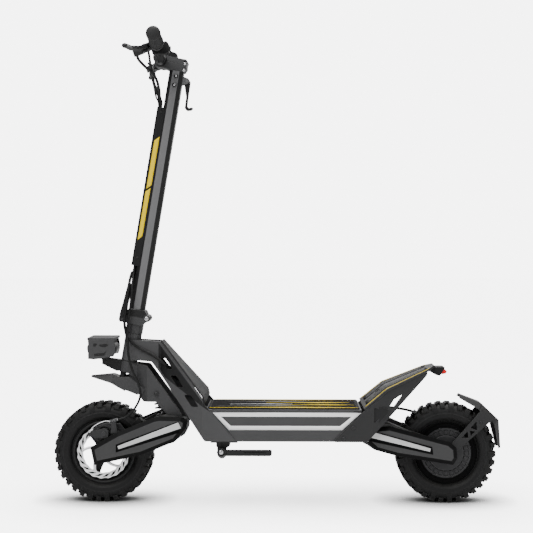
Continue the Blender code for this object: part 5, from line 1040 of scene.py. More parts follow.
@dataclass
class FrontWheel(Wheel):
    """Front wheel: cast rim with three open spokes, and the brake disc."""

    spokes: int = 3
    slots: int = 20
    arms: int = 5
    bolt_circle: float = 17.0

    def rim(self) -> None:
        """Rim: a turned channel, a turned hub and tapering spokes with a rounded oblong section."""
        channel = np.array([[85.6, 24.6], [83.0, 24.8], [82.4, 29.0], [80.0, 30.0], [76.5, 28.6],
                            [73.4, 22.0], [71.6, 12.0], [71.2, 0.0]])
        outer = np.array([[80.6, 0.0], [80.6, 16.0], [81.8, 24.0]])
        inner_side = np.vstack([channel, channel[-2::-1] * [1, -1]])
        outer_side = np.vstack([outer[::-1] * [1, -1], outer[1:]])
        profile = np.vstack([inner_side, outer_side]) * MM
        self.place(turned("front_rim_channel", profile, self.centre, steps=120), Look.BLACK_COAT, self.body,
                   "front_rim")
        hub = np.array([[10.0, -35.4], [21.5, -35.4], [23.8, -33.0], [24.0, -16.0], [21.0, -10.0],
                        [21.0, 10.0], [24.0, 16.0], [24.0, 28.0], [22.0, 30.0], [10.0, 30.0]]) * MM
        self.place(turned("front_hub", hub, self.centre, steps=72), Look.BLACK_COAT, self.body)
        stations, around = 12, 24
        reach = np.linspace(19.0, 75.0, stations)[None, :, None]
        width = np.interp(reach, [19.0, 30.0, 60.0, 75.0], [13.0, 9.5, 9.0, 15.0])
        corner = np.linspace(0.0, 2 * np.pi, around, endpoint=False)[None, None, :]
        across = width * np.sign(np.cos(corner)) * np.abs(np.cos(corner)) ** 0.5
        thick = 8.0 * np.sign(np.sin(corner)) * np.abs(np.sin(corner)) ** 0.5
        angle = np.radians(8.0 + 360.0 / self.spokes * np.arange(self.spokes))[:, None, None]
        x = reach * np.cos(angle) - across * np.sin(angle)
        z = reach * np.sin(angle) + across * np.cos(angle)
        points = np.stack([x, thick + 0 * x, z], -1) * MM + self.centre
        faces = copied_faces(closed_rings(stations, around), self.spokes, stations * around)
        self.place(make_piece("front_spokes", points, faces), Look.BLACK_COAT, self.body)

    def disc(self) -> None:
        """Brake disc: a slotted ring with wavy edges, r0 + a sin(n turn), on a spider of curved arms."""
        per_slot, rings = 12, 13
        steps = self.slots * per_slot
        turn = np.linspace(0.0, 2 * np.pi, steps, endpoint=False)[:, None]
        share = np.linspace(0.0, 1.0, rings)[None, :]
        wave = np.sin(self.slots * turn)
        r = 54.0 + share * 15.0 + wave * (1.0 * share + 0.5 * (1 - share))
        angle = turn - 0.36 * (share - 0.5)
        points = np.stack([r * np.cos(angle), ROTOR_SIDE + 0 * r, r * np.sin(angle)], -1) * MM + self.centre
        quads = grid_faces(steps, rings, wrap_rows=True)
        row, col = np.divmod(np.arange(len(quads)), rings - 1)
        phase = row % per_slot
        slot = (phase >= 2) & (phase <= 8) & (col >= 3) & (col <= 8)
        ring = make_piece("disc_ring", points, [quads[~slot]])
        self.place(thicken(ring, depth=0.002), Look.DISC_STEEL, self.body, "brake_rotor")
        stations, inner, outer = 14, 18.0, 56.0
        reach = np.linspace(inner, outer, stations)[None, :, None]
        width = np.interp(reach, [inner, 30.0, 50.0, outer], [7.0, 4.2, 4.2, 8.0])
        across = np.array([-1.0, 1.0])[None, None, :] * width
        pitch = 360.0 / self.arms
        lean = np.radians(pitch * np.arange(self.arms))[:, None,
                                                        None] + 0.55 * (reach - inner) / (outer - inner)
        x = reach * np.cos(lean) - across * np.sin(lean)
        z = reach * np.sin(lean) + across * np.cos(lean)
        points = np.stack([x, ROTOR_SIDE + 0 * x, z], -1) * MM + self.centre
        faces = copied_faces([grid_faces(stations, 2)], self.arms, 2 * stations)
        self.place(thicken(make_piece("disc_spider", points, faces), depth=0.0018), Look.DISC_STEEL,
                   self.body)
        web = np.array([[58.0, -23.0], [82.0, -24.0], [82.0, -22.0], [58.0, -21.4]]) * MM
        self.place(turned("rim_web", web, self.centre, steps=96), Look.DEEP_BLACK, self.body)
        middle = np.array([[11.0, -38.0], [22.0, -38.0], [22.0, -36.0], [11.0, -36.0]]) * MM
        self.place(turned("disc_middle", middle, self.centre, steps=60), Look.DISC_STEEL, self.body)
        spots = np.radians(pitch * (0.5 + np.arange(self.arms)))
        x, z = self.bolt_circle * np.cos(spots), self.bolt_circle * np.sin(spots)
        places = self.centre + np.stack([x, ROTOR_SIDE - 1.0 + 0 * x, z], -1) * MM
        self.place(bolts("disc_screws", places, [(0, -1, 0)] * self.arms, radius=0.0034), Look.BLACK_COAT,
                   self.body)


@dataclass
class RearWheel(Wheel):
    """Rear wheel: hub motor with toothed covers."""

    pads: int = 24
    screws: int = 8
    bolt_circle: float = 65.5

    def pad_ring(self, name: str, shape: Array, top: float) -> Piece:
        """Ring of raised four-cornered pads on both hub covers.

        Args:
            name: the piece's name.
            shape: corners as a share of the pads' pitch and a radius in millimetres.
            top: height of the pads' faces over the wheel's middle plane, in millimetres.

        Returns:
            The new object.
        """
        side = np.array(SIDES)[:, None, None, None]
        pitch = 2 * np.pi / self.pads
        angle = pitch * (np.arange(self.pads)[None, :, None, None] + shape[None, None, None, :, 0] + 0 * side)
        level = np.array([30.0, top])[None, None, :, None] * side
        r = shape[:, 1] * MM + 0 * angle + 0 * level
        points = np.stack([r * np.cos(angle), level * MM + 0 * r, r * np.sin(angle)], -1).reshape(-1, 8, 3)
        faces = copied_faces([np.vstack(closed_rings(2, 4))], len(points), 8)
        return make_piece(name, points + self.centre, faces)

    def motor(self) -> None:
        """Hub motor: turned covers with a stepped dish, dark rings of painted shade by the rim and under the
        pads, and raised pads and screws on each side.
        """
        half = np.array([[85.6, 24.6], [83.0, 24.8], [82.4, 29.0], [80.0, 30.0], [77.0, 28.0], [74.0, 27.0],
                         [71.5, 27.6], [70.0, 30.2], [66.0, 31.4], [62.5, 31.5], [61.8, 30.7], [46.0, 31.0],
                         [45.2, 31.8], [30.0, 31.9], [24.0, 31.2], [13.0, 31.0], [9.5, 30.8]])
        profile = np.vstack([half, half[::-1] * [1, -1], [[83.0, -16.0], [83.0, 16.0]]]) * MM
        self.place(turned("motor_covers", profile, self.centre, steps=128), Look.CAST_GREY, self.body,
                   "rear_hub_motor")
        # Dark rings of painted shade in the groove between each cover and the rim.
        gap_shade = np.array([[82.6, 29.2], [80.0, 30.3], [77.0, 28.3], [74.0, 27.3], [71.5, 27.9], [70.0, 30.6],
                        [66.4, 31.7]]) * MM
        for side in SIDES:
            ring = turned(f"motor_gap_shade_{side_name(side)}", gap_shade * [1, side], self.centre, steps=128,
                          closed=False)
            self.place(thicken(ring, depth=0.0003), Look.DEEP_BLACK, self.body)
        # Dark beds a little larger than the pads: painted shade that outlines each pad.
        shade_bed = np.array([[-0.36, 47.6], [0.36, 47.6], [0.33, 61.0], [-0.33, 61.0]])
        self.place(self.pad_ring("motor_pad_shade_beds", shade_bed, 31.5), Look.DEEP_BLACK, self.body)
        shape = np.array([[-0.30, 49.2], [0.30, 49.2], [0.27, 59.4], [-0.27, 59.4]])
        self.place(bevel(self.pad_ring("motor_pads", shape, 32.6), width=0.0005), Look.CAST_GREY, self.body)
        spots = np.radians(15.0 + 360.0 / self.screws * np.arange(self.screws))
        x, z = self.bolt_circle * np.cos(spots), self.bolt_circle * np.sin(spots)
        for side in SIDES:
            places = self.centre + np.stack([x, side * 31.2 + 0 * x, z], -1) * MM
            piece = bolts(f"motor_screws_{side_name(side)}", places, [(0, side, 0)] * self.screws,
                          radius=0.0026)
            self.place(piece, Look.DARK_STEEL, self.body)


# Swing arms, suspension and brake
@dataclass
class Arms(Assembly):
    """Covers and strips of the swing arms, the shock's spring and the front brake. Sizes in millimetres."""

    length: float = 211.0
    outer: float = 73.0
    cover: float = 82.0
    front_lean: float = 18.4
    rear_lean: float = 13.0
    curls: int = 5

    def along(self, points: Sequence[Sequence[float]], facing_way: int, side: float) -> Array:
        """Places in metres of (from the axle, above the arm's line) points on an arm's outer face.

        Args:
            points: places in millimetres along and above the arm.
            facing_way: 1 for the front arm, -1 for the rear one.
            side: place across the scooter in millimetres.

        Returns:
            Array of places.
        """
        u, w = np.asarray(points, float).T
        lean = math.radians(self.front_lean if facing_way > 0 else self.rear_lean)
        x = facing_way * (u * math.cos(lean) - w * math.sin(lean) - HALF_BASE)
        z = u * math.sin(lean) + w * math.cos(lean) + AXLE_HEIGHT
        return at(*np.stack([x, side + 0 * x, z], -1))

    def fairings(self) -> None:
        """Faceted covers over the arms and the shaft ends: three outlines, the outermost moved inwards."""
        front = np.array([(-491, 152), (-420.6, 191.3), (-325.3, 230.4), (-309.1, 233.6), (-252, 232.3),
                          (-236, 223.9), (-238, 204.3), (-266.6, 168.3), (-355.3, 132), (-481, 105)]) * MM
        rear = np.array([(237, 201), (268.5, 207), (294.6, 209.8), (451.2, 168.6), (469.5, 153.5), (472, 125),
                         (461, 108), (312.8, 131), (258, 146), (232, 169.6)]) * MM
        for name, outline, body in (("front", front, Body.FRONT_ARM), ("rear", rear, Body.REAR_ARM)):
            for side in SIDES:
                levels = [side * reach * MM for reach in (self.outer - 1.0, self.outer + 2.5, self.cover)]
                rings = [outline, outline, inset(outline, width=0.0105)]
                # The covers' finish paints shade on their narrow facets.
                piece = stacked(f"{name}_fairing_{side_name(side)}", rings, levels)
                self.place(bevel(piece, width=0.0006, angle=20.0), Look.ARM_COVER, body)

    def strips(self) -> None:
        """Silver strips over dark sheets of painted shadow on the arms, with ridges 0.25 sin(2 pi (30 u + 2
        v)) mm high.
        """
        far, near = self.length, 0.236 * self.length
        shape = [(near, 0.8), (far + 11.8, 1.8), (far + 9.2, 18.2), (near, 9.2)]
        shade_bed = [(near - 10.0, -5.0), (far + 5.0, -8.0), (far + 12.0, 20.6), (near - 3.0, 14.0)]
        rows, cols = 320, 10
        u = np.linspace(0.0, 1.0, rows)[:, None]
        v = np.linspace(0.0, 1.0, cols)[None, :]
        ridges = 0.25 * MM * np.sin(2 * np.pi * (30.0 * u + 2.0 * v))
        for name, way, body in (("front", 1, Body.FRONT_ARM), ("rear", -1, Body.REAR_ARM)):
            for side in SIDES:
                label = side_name(side)
                # Dark sheet a little larger than the strip: painted shadow below and round the strip.
                corners = self.along(shade_bed, way, side * (self.cover + 0.45))
                strip_shadow = patch(f"{name}_strip_shadow_bed_{label}", corners, rows=2, cols=2)
                self.place(thicken(strip_shadow, depth=0.0004), Look.DEEP_BLACK, body)
                corners = self.along(shape, way, side * (self.cover + 1.3))
                piece = patch(f"{name}_strip_{label}", corners, rows, cols, ridges * side * way)
                self.place(thicken(piece, depth=0.0012), Look.SILVER_STRIP, body)

    def spring(self) -> None:
        """Shock spring: a wire on the helix R (cos a, sin a) about the shock's line, with closed ends."""
        top, low = at((-312.0, 0.0, 290.0))[0], at((-297.0, 0.0, 212.0))[0]
        way = unit(low - top)
        side = np.array([0.0, 1.0, 0.0])
        third = np.cross(way, side)
        reach = np.linalg.norm(low - top)
        turn = np.linspace(0.0, 1.0, 200)
        start, end = 0.0151, reach - 0.0156
        pace = np.interp(turn, [0.0, 0.1, 0.9, 1.0], [0.0, 0.06, 0.94, 1.0])
        angle = 2 * np.pi * self.curls * turn
        path = top + (start + (end - start) * pace)[:, None] * way
        path = path + 0.015 * (np.cos(angle)[:, None] * side + np.sin(angle)[:, None] * third)
        piece = tube("shock_spring", path, radius=0.0027, sides=14, lean=tuple(way))
        self.finishes.dress(piece, Look.SPRING_COAT)
        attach(piece, Body.SHOCK_TOP.value)
        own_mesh(piece)
        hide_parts("front_spring")
        log.info("%s: %d points, flattens with the front arm", piece.name, len(piece.data.vertices))

    def brake(self) -> None:
        """Bright wire from the cable's adjuster to the caliper, and the caliper's shell, cap, a dark ring of
        painted shade round the cap, and bolts.
        """
        wire = smooth_line(at((-433.0, -64.3, 219.0), (-445.0, -67.0, 220.0), (-462.0, -71.5, 214.5),
                              (-478.0, -73.2, 203.5), (-486.0, -73.2, 190.5)), count=30)
        piece = tube("brake_wire", wire, radius=0.0011, sides=10)
        self.between(piece, Look.DISC_STEEL, (Body.FRONT_ARM, Body.CALIPER), wire[6], wire[-5])
        count = 25
        barrel = smooth_line(at((-412.4, -64.3, 224.2), (-422.0, -64.3, 221.8), (-434.5, -64.3, 218.6)),
                             count)
        ridge = 0.0040 + 0.0007 * np.sign(np.sin(np.linspace(0.0, 16 * np.pi, count)))
        self.place(tube("cable_adjuster", barrel, ridge, sides=16), Look.BRIGHT_STEEL, Body.FRONT_ARM)
        shell = np.array([(-491.0, 192.2), (-479.9, 202.5), (-465.7, 208.6), (-451.4, 212.6), (-433.2, 209.7),
                          (-417.1, 211.8), (-402.9, 194.4), (-412.9, 185.4), (-433.2, 181.2), (-451.4, 170.1),
                          (-469.9, 162.0), (-479.9, 165.0), (-489.2, 178.3)]) * MM
        piece = bevel(slab("caliper_shell", shell, near=-0.0472, far=-0.0412), width=0.0012)
        self.place(piece, Look.CAST_GREY, Body.FRONT_ARM)
        cap = np.array([[0.0, -50.6], [7.0, -50.8], [8.2, -50.0], [8.6, -48.6], [10.2, -48.2], [10.6, -47.0],
                        [0.0, -47.0]]) * MM
        # Dark ring round the cap: painted shade of the gap.
        cap_shade_ring = np.array([[10.7, -47.6], [14.5, -47.6], [14.5, -47.0], [10.7, -47.0]]) * MM
        middle = (-0.4586, 0.0, 0.1883)
        for name, profile, look in (("caliper_cap", cap, Look.CAST_GREY),
                                    ("caliper_gap_shade", cap_shade_ring, Look.DEEP_BLACK)):
            self.place(turned(name, profile, middle, steps=48), look, Body.FRONT_ARM)
        places = at((-436.0, -47.4, 197.0), (-413.0, -47.4, 188.0), (-468.0, -47.4, 194.0),
                    (-459.0, -47.4, 170.0))
        piece = bolts("caliper_bolts", places, [(0, -1, 0)] * len(places), radius=0.0040)
        self.place(piece, Look.DARK_STEEL, Body.FRONT_ARM)


# Cords
@dataclass
class Cords(Assembly):
    """Cords between the bar, the stem, the front end and the motor. Radii in millimetres."""

    cable: float = 3.2
    motor_lead: float = 3.5
    loom: float = 3.8
    left_lead: float = 3.8
    right_lead: float = 3.0
    thin: float = 2.4

    @staticmethod
    def perch(side: float) -> Array:
        """Where a cord leaves a lever's perch, in millimetres."""
        ahead = np.array([-30.0 * math.cos(LEVER_TILT), -25.0 * side, -30.0 * math.sin(LEVER_TILT)])
        return on_bar(side * PERCH_SIDE) + ahead

    def run(self, name: str, points: Array, radius: float, count: int) -> tuple:
        """One cord on a smooth line through points.

        Args:
            name: the cord's name.
            points: places in metres.
            radius: its radius in millimetres.
            count: places along it.

        Returns:
            The piece and the places along its middle line.
        """
        path = smooth_line(points, count)
        return tube(name, path, radius * MM, sides=14), path

    def declare(self, piece: Piece, path: Array, radius: float) -> None:
        """Take a cord and do nothing with it.

        Args:
            piece: the cord; not used.
            path: places along its middle line; not used.
            radius: its radius in millimetres; not used.
        """

    def brake_line(self) -> None:
        """Front brake cord: a stretch over the stem's fold, and one from the front end to the caliper."""
        start = self.perch(-1.0)
        upper = np.vstack([at(start, start + [2.0, 22.0, -3.0]),
                           on_stem((-62, -66, BAR_HEIGHT - 30), (-48, -26, BAR_HEIGHT - 74),
                                   (-28, -12, COVER_TOP + 8), (-26, -12, COVER_TOP - 40), (-26, -12, 347.5),
                                   (-26, -12, COVER_LOW + 6), (-24, -23, COVER_LOW - 28),
                                   (-20, -36, COVER_LOW - 62), (-17, -38, 30), (-16, -40, -16),
                                   (-11, -45, -54))])
        lower = np.vstack([upper[-1:],
                           at((-384, -56, 387), (-374, -60, 352), (-358, -60, 316), (-354, -59, 284),
                              (-368, -61, 253), (-391, -64, 231), (-407, -64.3, 225.2), (-413, -64.3, 224))])
        piece, path = self.run("brake_cord_upper", upper, self.cable, count=130)
        self.between(piece, Look.CORD_RUBBER, (Body.STEM, Body.STEERING), *on_stem((0, 0, 70), (0, 0, -30)),
                     "brake_cable")
        self.declare(piece, path, self.cable)
        piece, path = self.run("brake_cord_lower", lower, self.cable, count=60)
        self.between(piece, Look.CORD_RUBBER, (Body.STEERING, Body.FRONT_ARM),
                     *at((-360, -54, 345), (-395, -62, 235)))
        self.declare(piece, path, self.cable)

    def main_loom(self) -> None:
        """Main loom: a stretch from the display over the fold, and one from the front end into the neck."""
        start = on_bar(112.0) + np.array([-19.4, -6.0, 2.0])
        upper = np.vstack([at(start, start + [-14.0, -20.0, -16.0]),
                           on_stem((-64, 42, BAR_HEIGHT - 52), (-34, 4, COVER_TOP + 26),
                                   (-26.5, -2, COVER_TOP - 14), (-26.5, -2, 347.5),
                                   (-26.5, -2, COVER_LOW + 4), (-31, -10, COVER_LOW - 22),
                                   (-31, -27, COVER_LOW - 50), (-29, -35, 40), (-26, -37, -16),
                                   (-13, -36, -56))])
        lower = np.vstack([upper[-1:],
                           at((-372, -37, 419), (-356, -37, 408), (-330, -38, 395), (-307, -41, 381),
                              (-294, -43, 371), (-286, -37, 364), (-278, -26, 356), (-266, -16, 344))])
        piece, path = self.run("loom_upper", upper, self.loom, count=120)
        self.between(piece, Look.CORD_RUBBER, (Body.STEM, Body.STEERING), *on_stem((0, 0, 70), (0, 0, -30)),
                     "harness")
        self.declare(piece, path, self.loom)
        piece, path = self.run("loom_lower", lower, self.loom, count=50)
        self.between(piece, Look.CORD_RUBBER, (Body.STEERING, Body.FRAME),
                     *at((-372, -37, 419), (-290, -40, 368)))
        self.declare(piece, path, self.loom)

    def bar_leads(self) -> None:
        """Leads from both levers and from the bar's clamp into the top of the stem's cover."""
        start = self.perch(1.0)
        foot = on_stem((-33, 9, COVER_TOP + 14), (-24, 8, COVER_TOP - 26))
        right = np.vstack([at(start, start + [-8.0, -22.0, -6.0], (-344, 60, 1178), (-329, 30, 1160),
                              (-320, 15, 1134), (-309, 10, 1101)), foot])
        foot = on_stem((-31, -7, COVER_TOP + 12), (-24, -4, COVER_TOP - 26))
        left = np.vstack([at((-349, -150, 1166), (-345, -143, 1156), (-334, -110, 1145), (-318, -70, 1131),
                             (-308, -40, 1110)), foot])
        foot = on_stem((-33, -15, COVER_TOP + 10), (-27, -15, COVER_TOP - 26))
        clip = np.vstack([at((-318, -16, 1141), (-325, -20, 1128), (-320, -20, 1104), (-315, -18, 1078)),
                          foot])
        leads = (("right_lever_lead", right, self.right_lead), ("left_lever_lead", left, self.left_lead),
                 ("clamp_lead", clip, self.thin))
        for name, points, radius in leads:
            piece, path = self.run(name, points, radius, count=70)
            self.place(piece, Look.CORD_RUBBER, Body.STEM)
            self.declare(piece, path, radius)

    def motor_line(self) -> None:
        """Motor cord from the deck along the right rear arm to the axle's end."""
        points = at((206.3, 58, 238), (220, 58, 239), (262, 60, 244), (334, 62, 238), (383, 64, 226),
                    (425, 71, 197), (451, 80, 165), (455, 81, 147))
        piece, path = self.run("motor_cord", points, self.motor_lead, count=70)
        self.between(piece, Look.CORD_RUBBER, (Body.FRAME, Body.REAR_ARM),
                     *at((225, 58, 240), (345, 62, 236)),
                     "motor_cable")
        self.declare(piece, path, self.motor_lead)


# Bar, stem and front end
@dataclass
class Cockpit(Assembly):
    """Handlebar, grips and the levers' pivot screws. Sizes in millimetres."""

    half: float = 308.0
    grip: float = 118.0
    grip_overhang: float = 2.0
    dome: float = 9.0

    def bar(self) -> None:
        """Handlebar: a tube along the bar's swept line that narrows from the clamp to the grips."""
        spots = np.array([30.0, 62.0, 77.0, 92.0, 119.0, 146.0, 230.0, self.half])
        path = smooth_line(at(*on_bar(np.concatenate([-spots[::-1], [0.0], spots]))), count=150)
        radius = np.interp(np.abs(path[:, 1]) / MM, [0.0, 66.0, 92.0, self.half],
                           [15.9, 15.9, 11.1, 11.1]) * MM
        self.place(tube("bar_tube", path, radius, sides=40, lean=(0.2, 0.0, 1.0)), Look.BLACK_COAT, Body.STEM,
                   "handlebar")
        log.info("bar spans %.0f mm", 2.0 * self.half)

    def grips(self) -> None:
        """Grips: ribs 16.7 + 0.9 cos^8(pi y / 5) mm, a flange and a dome 18.2 sqrt(1 - (0.92 d)^2) mm."""
        out = np.linspace(0.0, self.grip, 160)
        rib = 16.7 + 0.9 * np.cos(np.pi * out / 5.0) ** 8
        flange = 19.2 - 2.5 * np.clip((out - 4.0) / 1.5, 0.0, 1.0)
        dome = np.clip((out - self.grip + self.dome) / self.dome, 0.0, 1.0)
        radius = np.where(out < 5.5, np.maximum(flange, rib), rib)
        radius = np.where(dome > 0.0, 18.2 * np.sqrt(1.0 - (0.92 * dome) ** 2), radius)
        for side in SIDES:
            path = at(*on_bar(side * (self.half - self.grip + self.grip_overhang + out)))
            name = side_name(side)
            piece = tube(f"grip_sleeve_{name}", path, radius * MM, sides=40, lean=(0.2, 0.0, 1.0))
            self.place(piece, Look.GRIP_RUBBER, Body.STEM, f"grip_{name}")

    def fittings(self) -> None:
        """Lever pivot screws on both perches."""
        up = np.array([-math.sin(LEVER_TILT), 0.0, math.cos(LEVER_TILT)])
        ahead = np.array([-math.cos(LEVER_TILT), 0.0, -math.sin(LEVER_TILT)])
        pivot = 31.0 * ahead + 8.6 * up
        places = [at(on_bar(side * PERCH_SIDE) + pivot + [0.0, side * 5.0, 0.0])[0] for side in SIDES]
        self.place(bolts("lever_pins", places, [up] * 2, radius=0.0042), Look.BRIGHT_STEEL, Body.STEM)


@dataclass
class Stem(Assembly):
    """Stripes and screws of the stem and its cover, and the dress of the fold, the hook and the fenders."""

    cover_half: float = 22.0
    head_half: float = 25.2

    def stripes(self) -> None:
        """Two yellow slanted stripes on each side of the cover."""
        for side in SIDES:
            face = side * (self.cover_half + 0.25)
            upper = on_stem((-27.8, face, 340.5), (-27.4, face, 471.0), (-15.2, face, 483.0),
                            (-15.5, face, 352.5))
            lower = on_stem((-28.4, face, 202.5), (-28.6, face, 333.4), (-16.6, face, 345.0),
                            (-17.4, face, 214.6))
            for spot, corners in (("upper", upper), ("lower", lower)):
                piece = patch(f"stem_stripe_{spot}_{side_name(side)}", corners, rows=24, cols=4)
                self.place(thicken(piece, depth=0.0004), Look.YELLOW_FILM, Body.STEM)

    def screws(self) -> None:
        """Screws with dark rims on the stem's head, and screws on the clamp's cap and the cover's edge."""
        spots = on_stem((2.0, 0.0, 648.0), (1.5, 0.0, 624.0))[:, [0, 2]]
        reach = self.head_half * MM
        self.place(side_bolts("head_screw_rims", spots, reach, radius=0.0054), Look.DEEP_BLACK, Body.STEM)
        self.place(side_bolts("head_screws", spots, reach + 0.0018, radius=0.0032), Look.BRIGHT_STEEL,
                   Body.STEM)
        spots = ((-0.2453, 1.1640), (-0.2480, 1.1470))
        self.place(side_bolts("clamp_screws", spots, 0.0231, radius=0.0036), Look.BRIGHT_STEEL, Body.STEM)
        spots = on_stem((-22.0, 0.0, 156.0), (-22.0, 0.0, 548.0))[:, [0, 2]]
        reach = self.cover_half * MM
        self.place(side_bolts("cover_screws", spots, reach, radius=0.0030), Look.BLACK_COAT, Body.STEM)

    def fold(self) -> None:
        """Pin heads of the fold's hinge and the shock, the latch's cover and the cord channel."""
        hinge = at((-340.31, 0.0, 487.45))[:, [0, 2]]
        self.place(side_bolts("fold_pin_heads", hinge, 0.0313, radius=0.0058), Look.BRIGHT_STEEL,
                   Body.STEERING)
        pin = at((-312.0, 0.0, 290.0))[:, [0, 2]]
        self.place(side_bolts("shock_pin_heads", pin, 0.0520, radius=0.0056), Look.DARK_STEEL, Body.SHOCK_TOP)
        plate = np.array([(-397.9, 578.6), (-391.3, 577.0), (-393.4, 553.5), (-401.1, 523.6), (-405.4, 480.2),
                          (-424.6, 482.0), (-423.8, 490.8), (-416.1, 517.0), (-406.2, 557.0)]) * MM
        piece = bevel(slab("latch_cover", plate, near=-0.0105, far=0.0105), width=0.0012)
        self.place(piece, Look.BLACK_PLASTIC, Body.LATCH)
        back, front, low, top = -18.5, -27.2, 52.0, COVER_LOW - 1.0
        channel = on_stem((front, 0, low), (back, 0, low), (back, 0, top), (front, 0, top))[:, [0, 2]]
        piece = bevel(slab("cord_channel", channel, near=0.002, far=0.014), width=0.0008)
        self.place(piece, Look.BLACK_PLASTIC, Body.STEM)

    def fenders(self) -> None:
        """Side skirts of the front fender, the hook's rivets and the rear fender's bolts."""
        skirt = np.array([(-440, 330), (-394, 334), (-352, 300), (-357, 289), (-372, 286), (-400, 297),
                          (-425, 306)]) * MM
        for side in SIDES:
            piece = slab(f"fender_skirt_{side_name(side)}", skirt, near=side * 0.0365, far=side * 0.0400)
            self.place(bevel(piece, width=0.0006), Look.FORK_PAINT, Body.STEERING)
        low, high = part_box("fold_hook")
        rivets = [(-0.24162, low[1], 1.11959), (-0.24162, high[1], 1.11959)]
        normals = [(0, side, 0) for side in SIDES]
        self.place(bolts("hook_rivets", rivets, normals, radius=0.0050), Look.BRIGHT_STEEL, Body.HOOK)
        spots = ((0.5370, 0.2160), (0.5497, 0.2046))
        self.place(side_bolts("fender_bolts", spots, 0.0489, radius=0.0036), Look.DARK_STEEL, Body.REAR_ARM)


@dataclass
class Headlamp(Assembly):
    """Headlamp dress: top plate, marked side panels, reflector cups, round back and front lugs."""

    width: float = 96.0
    cups: tuple = (-0.024, 0.0, 0.024)

    def shell(self) -> None:
        """Top plate, side panels with dark marks, and reflector cups, r = a + b sqrt(t)."""
        half = 0.5 * self.width * MM
        plate = np.array([(-503.0, 432.0), (-503.0, 438.0), (-430.0, 438.0), (-428.5, 432.0)]) * MM
        piece = bevel(slab("lamp_top_plate", plate, near=-half - 0.002, far=half + 0.002), width=0.0010)
        self.place(piece, Look.LAMP_PAINT, Body.HEADLAMP)
        panel = np.array([(-501, 432.5), (-433, 432.5), (-429, 417), (-429, 403), (-433, 389), (-453, 385.5),
                          (-484, 380.5), (-501, 382)]) * MM
        marks = ([(-487, 423), (-477, 423), (-480, 415), (-487, 415)],
                 [(-472, 420), (-451, 423), (-446, 418), (-455, 413), (-470, 415)],
                 [(-485, 396), (-458, 399), (-451, 405), (-457, 391), (-484, 389)])
        for side in SIDES:
            name = side_name(side)
            piece = slab(f"lamp_side_panel_{name}", panel, near=side * (half - 0.006),
                         far=side * (half + 0.0016))
            self.place(bevel(piece, width=0.0010), Look.LAMP_PAINT, Body.HEADLAMP)
            near, far = side * (half + 0.0010), side * (half + 0.0022)
            for index, mark in enumerate(marks):
                piece = slab(f"lamp_mark_{name}_{index}", np.array(mark) * MM, near, far)
                self.place(bevel(piece, width=0.0004), Look.BLACK_COAT, Body.HEADLAMP)
        lens_low, lens_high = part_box("headlamp_lens")
        share = np.linspace(0.0, 1.0, 14)
        radius = 0.0015 + 0.0095 * np.sqrt(share)
        for index, spot in enumerate(self.cups):
            path = np.stack([lens_high[0] + 0.0085 - 0.0075 * share, spot + 0 * share, 0.410 + 0 * share], -1)
            piece = tube(f"lamp_cup_{index}", path, radius, sides=28, lean=(0.0, 0.3, 1.0))
            self.place(piece, Look.LAMP_SILVER, Body.HEADLAMP)
        log.info("lens spans %.0f mm", (lens_high[1] - lens_low[1]) / MM)

    def back(self) -> None:
        """Turned drum at the back of the lamp, and two lugs on the front of its bezel."""
        low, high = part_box("headlamp_housing")
        rim = np.array([[17.0, -38.0], [19.5, -36.0], [20.0, -33.0], [20.0, 33.0], [19.5, 36.0],
                        [17.0, 38.0]]) * MM
        drum = turned("lamp_drum", rim, (high[0] - 0.0135, 0.0, 0.4065), steps=48)
        self.place(drum, Look.BLACK_COAT, Body.HEADLAMP)
        lug = np.array([[-4.0, 13.0], [0.5, 14.0], [0.5, -6.0], [-1.5, -8.0], [-4.5, 4.0]]) * MM
        lug = lug + [low[0] + 0.002, 0.404]
        for side in SIDES:
            piece = slab(f"lamp_lug_{side_name(side)}", lug, near=side * 0.036, far=side * 0.047)
            self.place(bevel(piece, width=0.0008), Look.BLACK_COAT, Body.HEADLAMP)


